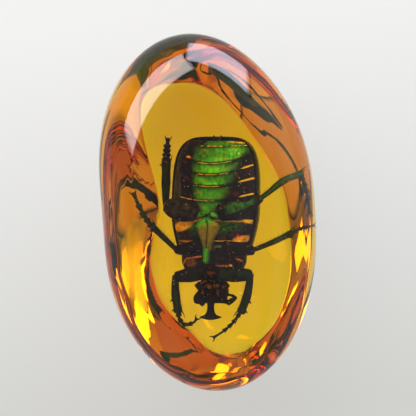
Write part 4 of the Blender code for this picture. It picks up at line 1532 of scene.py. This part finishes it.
def finish_piece(form, name, look, nodes, seat=None):
    """Turn a form into an object that rides on the pebble in place of its solids."""
    bmesh.ops.recalc_face_normals(form, faces=form.faces)
    place = Matrix.Scale(MM, 4) @ (seat or Matrix.Identity(4))
    bmesh.ops.transform(form, matrix=place, verts=form.verts)
    mesh = bpy.data.meshes.new(name)
    form.to_mesh(mesh)
    form.free()
    mesh.shade_smooth()
    mesh.materials.append(look)
    piece = bpy.data.objects.new(name, mesh)
    bpy.context.scene.collection.objects.link(piece)
    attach(piece, "root")
    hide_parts(*nodes)
    return piece


def colour_property(name, description, default):
    """A colour that a user may change."""
    return FloatVectorProperty(
        name=name, description=description, default=default, subtype="COLOR", size=3, min=0.0, max=1.0
    )


class PebbleSettings(bpy.types.PropertyGroup):
    """Clear resin pebble."""

    columns: IntProperty(name="Columns", description="Faces round the girth", default=320, min=64)
    bevel_rows: IntProperty(
        name="Bevel Rows", description="Faces from the flat back to the girth", default=96
    )
    dome_rows: IntProperty(name="Dome Rows", description="Faces from the girth to the top", default=80)
    tint: colour_property("Tint", "Colour that the resin lets through", (0.97, 0.874, 0.0))
    density: FloatProperty(
        name="Density", description="How fast the resin takes up light, per metre", default=200
    )
    roughness: FloatProperty(name="Roughness", description="Blur of the polish", default=0.01, min=0, max=1)
    ior: FloatProperty(name="IOR", description="Index of refraction", default=1.52, min=1)


class BeetleSettings(bpy.types.PropertyGroup):
    """Beetle's colours and hairs."""

    green: colour_property("Green", "Bright metallic green of the belly", (0.048, 0.33, 0.028))
    deep_green: colour_property("Deep Green", "Green toward the flanks", (0.016, 0.11, 0.012))
    olive: colour_property("Olive", "Olive of the breastplate", (0.20, 0.18, 0.03))
    black: colour_property("Black", "Black of limbs and flanks", (0.005, 0.003, 0.003))
    brown: colour_property("Brown", "Dark brown of thin skin", (0.06, 0.013, 0.008))
    amber_brown: colour_property("Amber Brown", "Translucent brown of joints", (0.30, 0.12, 0.04))
    orange: colour_property("Orange", "Orange skin between plates", (0.75, 0.28, 0.10))
    ochre: colour_property("Ochre", "Yellow-brown skin of the chest", (0.85, 0.45, 0.12))
    gold: colour_property("Gold", "Golden seams", (0.95, 0.62, 0.14))
    glow: colour_property("Glow", "Bright gaps at the flank", (1.0, 0.72, 0.15))
    red: colour_property("Red", "Red fleck at a joint", (0.6, 0.03, 0.02))
    # Blue-grey of the painted sheen on a thigh and of the painted shade in a flank hollow
    slate_sheen_and_shade: colour_property("Slate", "Blue-grey bloom on a thigh", (0.038, 0.031, 0.05))
    hairs: IntProperty(name="Hairs", description="Hairs in each fringe", default=44, min=0)
    hair_radius: FloatProperty(
        name="Hair Radius", description="Thickness of a hair in millimetres", default=0.022
    )


class StageSettings(bpy.types.PropertyGroup):
    """Floor, light and camera."""

    floor: colour_property("Floor", "Colour of the floor", (0.07, 0.07, 0.07))
    floor_glow: FloatProperty(
        name="Floor Glow", description="Evenness added to the floor's light", default=0.8
    )
    window_light: FloatProperty(name="Window Light", description="Brightness of the windows", default=9)
    room_light: FloatProperty(name="Room Light", description="Strength of the room's light", default=1.0)
    room_glow: FloatProperty(
        name="Room Glow", description="Strength of the glow from one side", default=1.1
    )
    camera_height: FloatProperty(
        name="Camera Height", description="Above the girth", default=0.36, unit="LENGTH"
    )


class AMBER_OT_pebble(bpy.types.Operator):
    """Make the clear pebble in one piece"""

    bl_idname = "amber.pebble"
    bl_label = "Pebble"

    def execute(self, context):
        settings = context.scene.amber_pebble
        look = clear_resin(settings)
        finish_piece(pebble_form(settings), "clear_pebble", look, ("resin_base", "resin_dome"))
        return {"FINISHED"}


class AMBER_OT_wing_cases(bpy.types.Operator):
    """Make both wing cases"""

    bl_idname = "amber.wing_cases"
    bl_label = "Wing Cases"

    def execute(self, context):
        palette = context.scene.amber_beetle
        look = horny_skin("wing_case_skin")
        for side_name, side in (("left", -1), ("right", 1)):
            skin = wing_case_form(side)
            x = TAIL_TEETH[side_name]
            root, tip = ((x, TAIL_Y + past, z) for past, z in TOOTH_ENDS)
            add_spine(skin, root, tip, TOOTH_RADIUS, plain_look(palette.black), count=10)
            # Painted shade: the rim and the rolled edge are black, the back deep metallic green
            for vert in skin.form.verts:
                green = smoothstep(*WING_GREEN_HEIGHTS, vert.co.z)
                skin.paint(vert, (blend(palette.black, palette.deep_green, green), WING_METAL * green))
            name, nodes = f"wing_case_{side_name}", (f"elytron_{side_name}",)
            finish_piece(skin.form, name, look, nodes, beetle_seat())
        return {"FINISHED"}


class AMBER_OT_belly(bpy.types.Operator):
    """Make the plates of the belly"""

    bl_idname = "amber.belly"
    bl_label = "Belly"

    def execute(self, context):
        palette = context.scene.amber_beetle
        skin = body_skin(palette, belly_places(), belly_section, BELLY_COLUMNS, belly_shape, belly_look)
        look = horny_skin("belly_skin")
        finish_piece(skin.form, "belly_plates", look, ("abdomen",), beetle_seat())
        return {"FINISHED"}


class AMBER_OT_chest(bpy.types.Operator):
    """Make the hind chest with its arrow-shaped breastplate"""

    bl_idname = "amber.chest"
    bl_label = "Chest"

    def execute(self, context):
        palette = context.scene.amber_beetle
        places = even_places(CHEST_BACK_Y, CHEST_FRONT_Y, CHEST_ROWS)
        skin = body_skin(palette, places, chest_section, CHEST_COLUMNS, chest_shape, chest_look)
        add_process(skin, palette)
        look = horny_skin("chest_skin")
        finish_piece(skin.form, "chest", look, ("thorax",), beetle_seat())
        return {"FINISHED"}


class AMBER_OT_collar(bpy.types.Operator):
    """Make the front ring of the chest"""

    bl_idname = "amber.collar"
    bl_label = "Collar"

    def execute(self, context):
        palette = context.scene.amber_beetle
        places = even_places(COLLAR[0][0], COLLAR[-1][0], COLLAR_ROWS)
        section = table_section(COLLAR, COLLAR_SQUARENESS)
        skin = body_skin(palette, places, section, COLLAR_COLUMNS, collar_shape, collar_look)
        look = horny_skin("collar_skin")
        finish_piece(skin.form, "collar", look, ("prothorax",), beetle_seat())
        return {"FINISHED"}


class AMBER_OT_head(bpy.types.Operator):
    """Make the head with its eyes, mouth parts and flared horn"""

    bl_idname = "amber.head"
    bl_label = "Head"

    def execute(self, context):
        palette = context.scene.amber_beetle
        places = even_places(HEAD[0][0], HEAD[-1][0], HEAD_ROWS)
        section = table_section(HEAD, HEAD_SQUARENESS)
        skin = body_skin(palette, places, section, HEAD_COLUMNS, head_shape, head_look)
        add_head_parts(skin, palette)
        look = horny_skin("head_skin")
        finish_piece(skin.form, "head_and_horn", look, ("head",), beetle_seat())
        return {"FINISHED"}


class AMBER_OT_antennae(bpy.types.Operator):
    """Make both antennae with their leaved clubs"""

    bl_idname = "amber.antennae"
    bl_label = "Antennae"

    def execute(self, context):
        palette = context.scene.amber_beetle
        look = horny_skin("antenna_skin")
        paint = leg_look("antenna", "club", palette)
        for name, (stalk, club) in ANTENNAE.items():
            skin = Skin()
            shift = Vector(ANTENNA_SHIFTS[name])
            stations = span_stations(stalk, 10, 0.9, beaded(0.8, 0.25))
            stations = [(point + shift, wide, deep) for point, wide, deep in stations]
            add_limb(skin, rounded(stations), paint, count=12)
            base, tip = Vector(club[0][:3]) + shift, Vector(club[-1][:3]) + shift
            for leaf in (-1, 0, 1):
                lean = across_limb(tip - base) * LEAF_LEAN * leaf
                end = tip + lean * 2.2 - (tip - base) * 0.06 * abs(leaf)
                stations = leaf_stations(base + lean * 0.4, end, **LEAF)
                add_limb(skin, rounded(stations), paint, count=14)
            finish_piece(skin.form, f"{name}_club", look, (name,))
        return {"FINISHED"}


class AMBER_OT_legs(bpy.types.Operator):
    """Make the six legs with spurs, hairs, jointed feet and claws"""

    bl_idname = "amber.legs"
    bl_label = "Legs"

    def execute(self, context):
        palette = context.scene.amber_beetle
        look = horny_skin("leg_skin")
        for number, (name, (thigh, shin, foot)) in enumerate(LEGS.items()):
            skin = Skin()
            thigh_width, foot_width = LEG_WIDTHS[name]
            lifts = THIGH_LIFTS.get(name, (0,) * len(thigh))
            thigh = [(x, y, z + lift, radius) for (x, y, z, radius), lift in zip(thigh, lifts)]
            stations = add_thigh(skin, thigh, leg_look(name, "thigh", palette), thigh_width)
            dark = leg_look(name, "foot", palette)
            add_hairs(skin, stations, -1, palette, dark, number, (0.45, 0.9), 0.5)
            stations = add_shin(skin, shin, leg_look(name, "shin", palette), "front" in name)
            add_hairs(skin, stations, -outer_side(stations), palette, dark, 10 + number)
            add_foot(skin, foot, dark, foot_width)
            finish_piece(skin.form, f"{name}_limb", look, (name,))
        return {"FINISHED"}


class AMBER_OT_stage(bpy.types.Operator):
    """Make the floor, the lights and the camera"""

    bl_idname = "amber.stage"
    bl_label = "Stage"

    def execute(self, context):
        settings = context.scene.amber_stage
        make_room(context, settings)
        make_floor(settings)
        make_windows(settings)
        make_camera(context, settings)
        context.scene.view_settings.view_transform = "Standard"
        for kind, bounces in LIGHT_BOUNCES.items():
            setattr(context.scene.cycles, kind, bounces)
        return {"FINISHED"}


class AMBER_PT_panel(bpy.types.Panel):
    """The pieces of the pebble and its beetle."""

    bl_idname = "AMBER_PT_panel"
    bl_label = "Beetle in Amber"
    bl_space_type = "VIEW_3D"
    bl_region_type = "UI"
    bl_category = "Amber"

    def draw(self, context):
        for settings in (context.scene.amber_pebble, context.scene.amber_beetle, context.scene.amber_stage):
            box = self.layout.box()
            for name in settings.__annotations__:
                box.prop(settings, name)
        for operator in OPERATORS:
            self.layout.operator(operator.bl_idname)


OPERATORS = (
    AMBER_OT_pebble,
    AMBER_OT_wing_cases,
    AMBER_OT_belly,
    AMBER_OT_chest,
    AMBER_OT_collar,
    AMBER_OT_head,
    AMBER_OT_antennae,
    AMBER_OT_legs,
    AMBER_OT_stage,
)
SETTINGS = (
    ("amber_pebble", PebbleSettings),
    ("amber_beetle", BeetleSettings),
    ("amber_stage", StageSettings),
)


def register():
    """Make the settings, the operators and the panel known to Blender."""
    for name, group in SETTINGS:
        bpy.utils.register_class(group)
        setattr(bpy.types.Scene, name, PointerProperty(type=group))
    for made in (*OPERATORS, AMBER_PT_panel):
        bpy.utils.register_class(made)


def unregister():
    """Take them out again."""
    for made in reversed((*OPERATORS, AMBER_PT_panel)):
        bpy.utils.unregister_class(made)
    for name, group in reversed(SETTINGS):
        delattr(bpy.types.Scene, name)
        bpy.utils.unregister_class(group)


def main():
    """Make every piece and the stage."""
    register()
    bpy.ops.amber.pebble()
    bpy.ops.amber.wing_cases()
    bpy.ops.amber.belly()
    bpy.ops.amber.chest()
    bpy.ops.amber.collar()
    bpy.ops.amber.head()
    bpy.ops.amber.antennae()
    bpy.ops.amber.legs()
    bpy.ops.amber.stage()


if __name__ == "__main__":
    main()
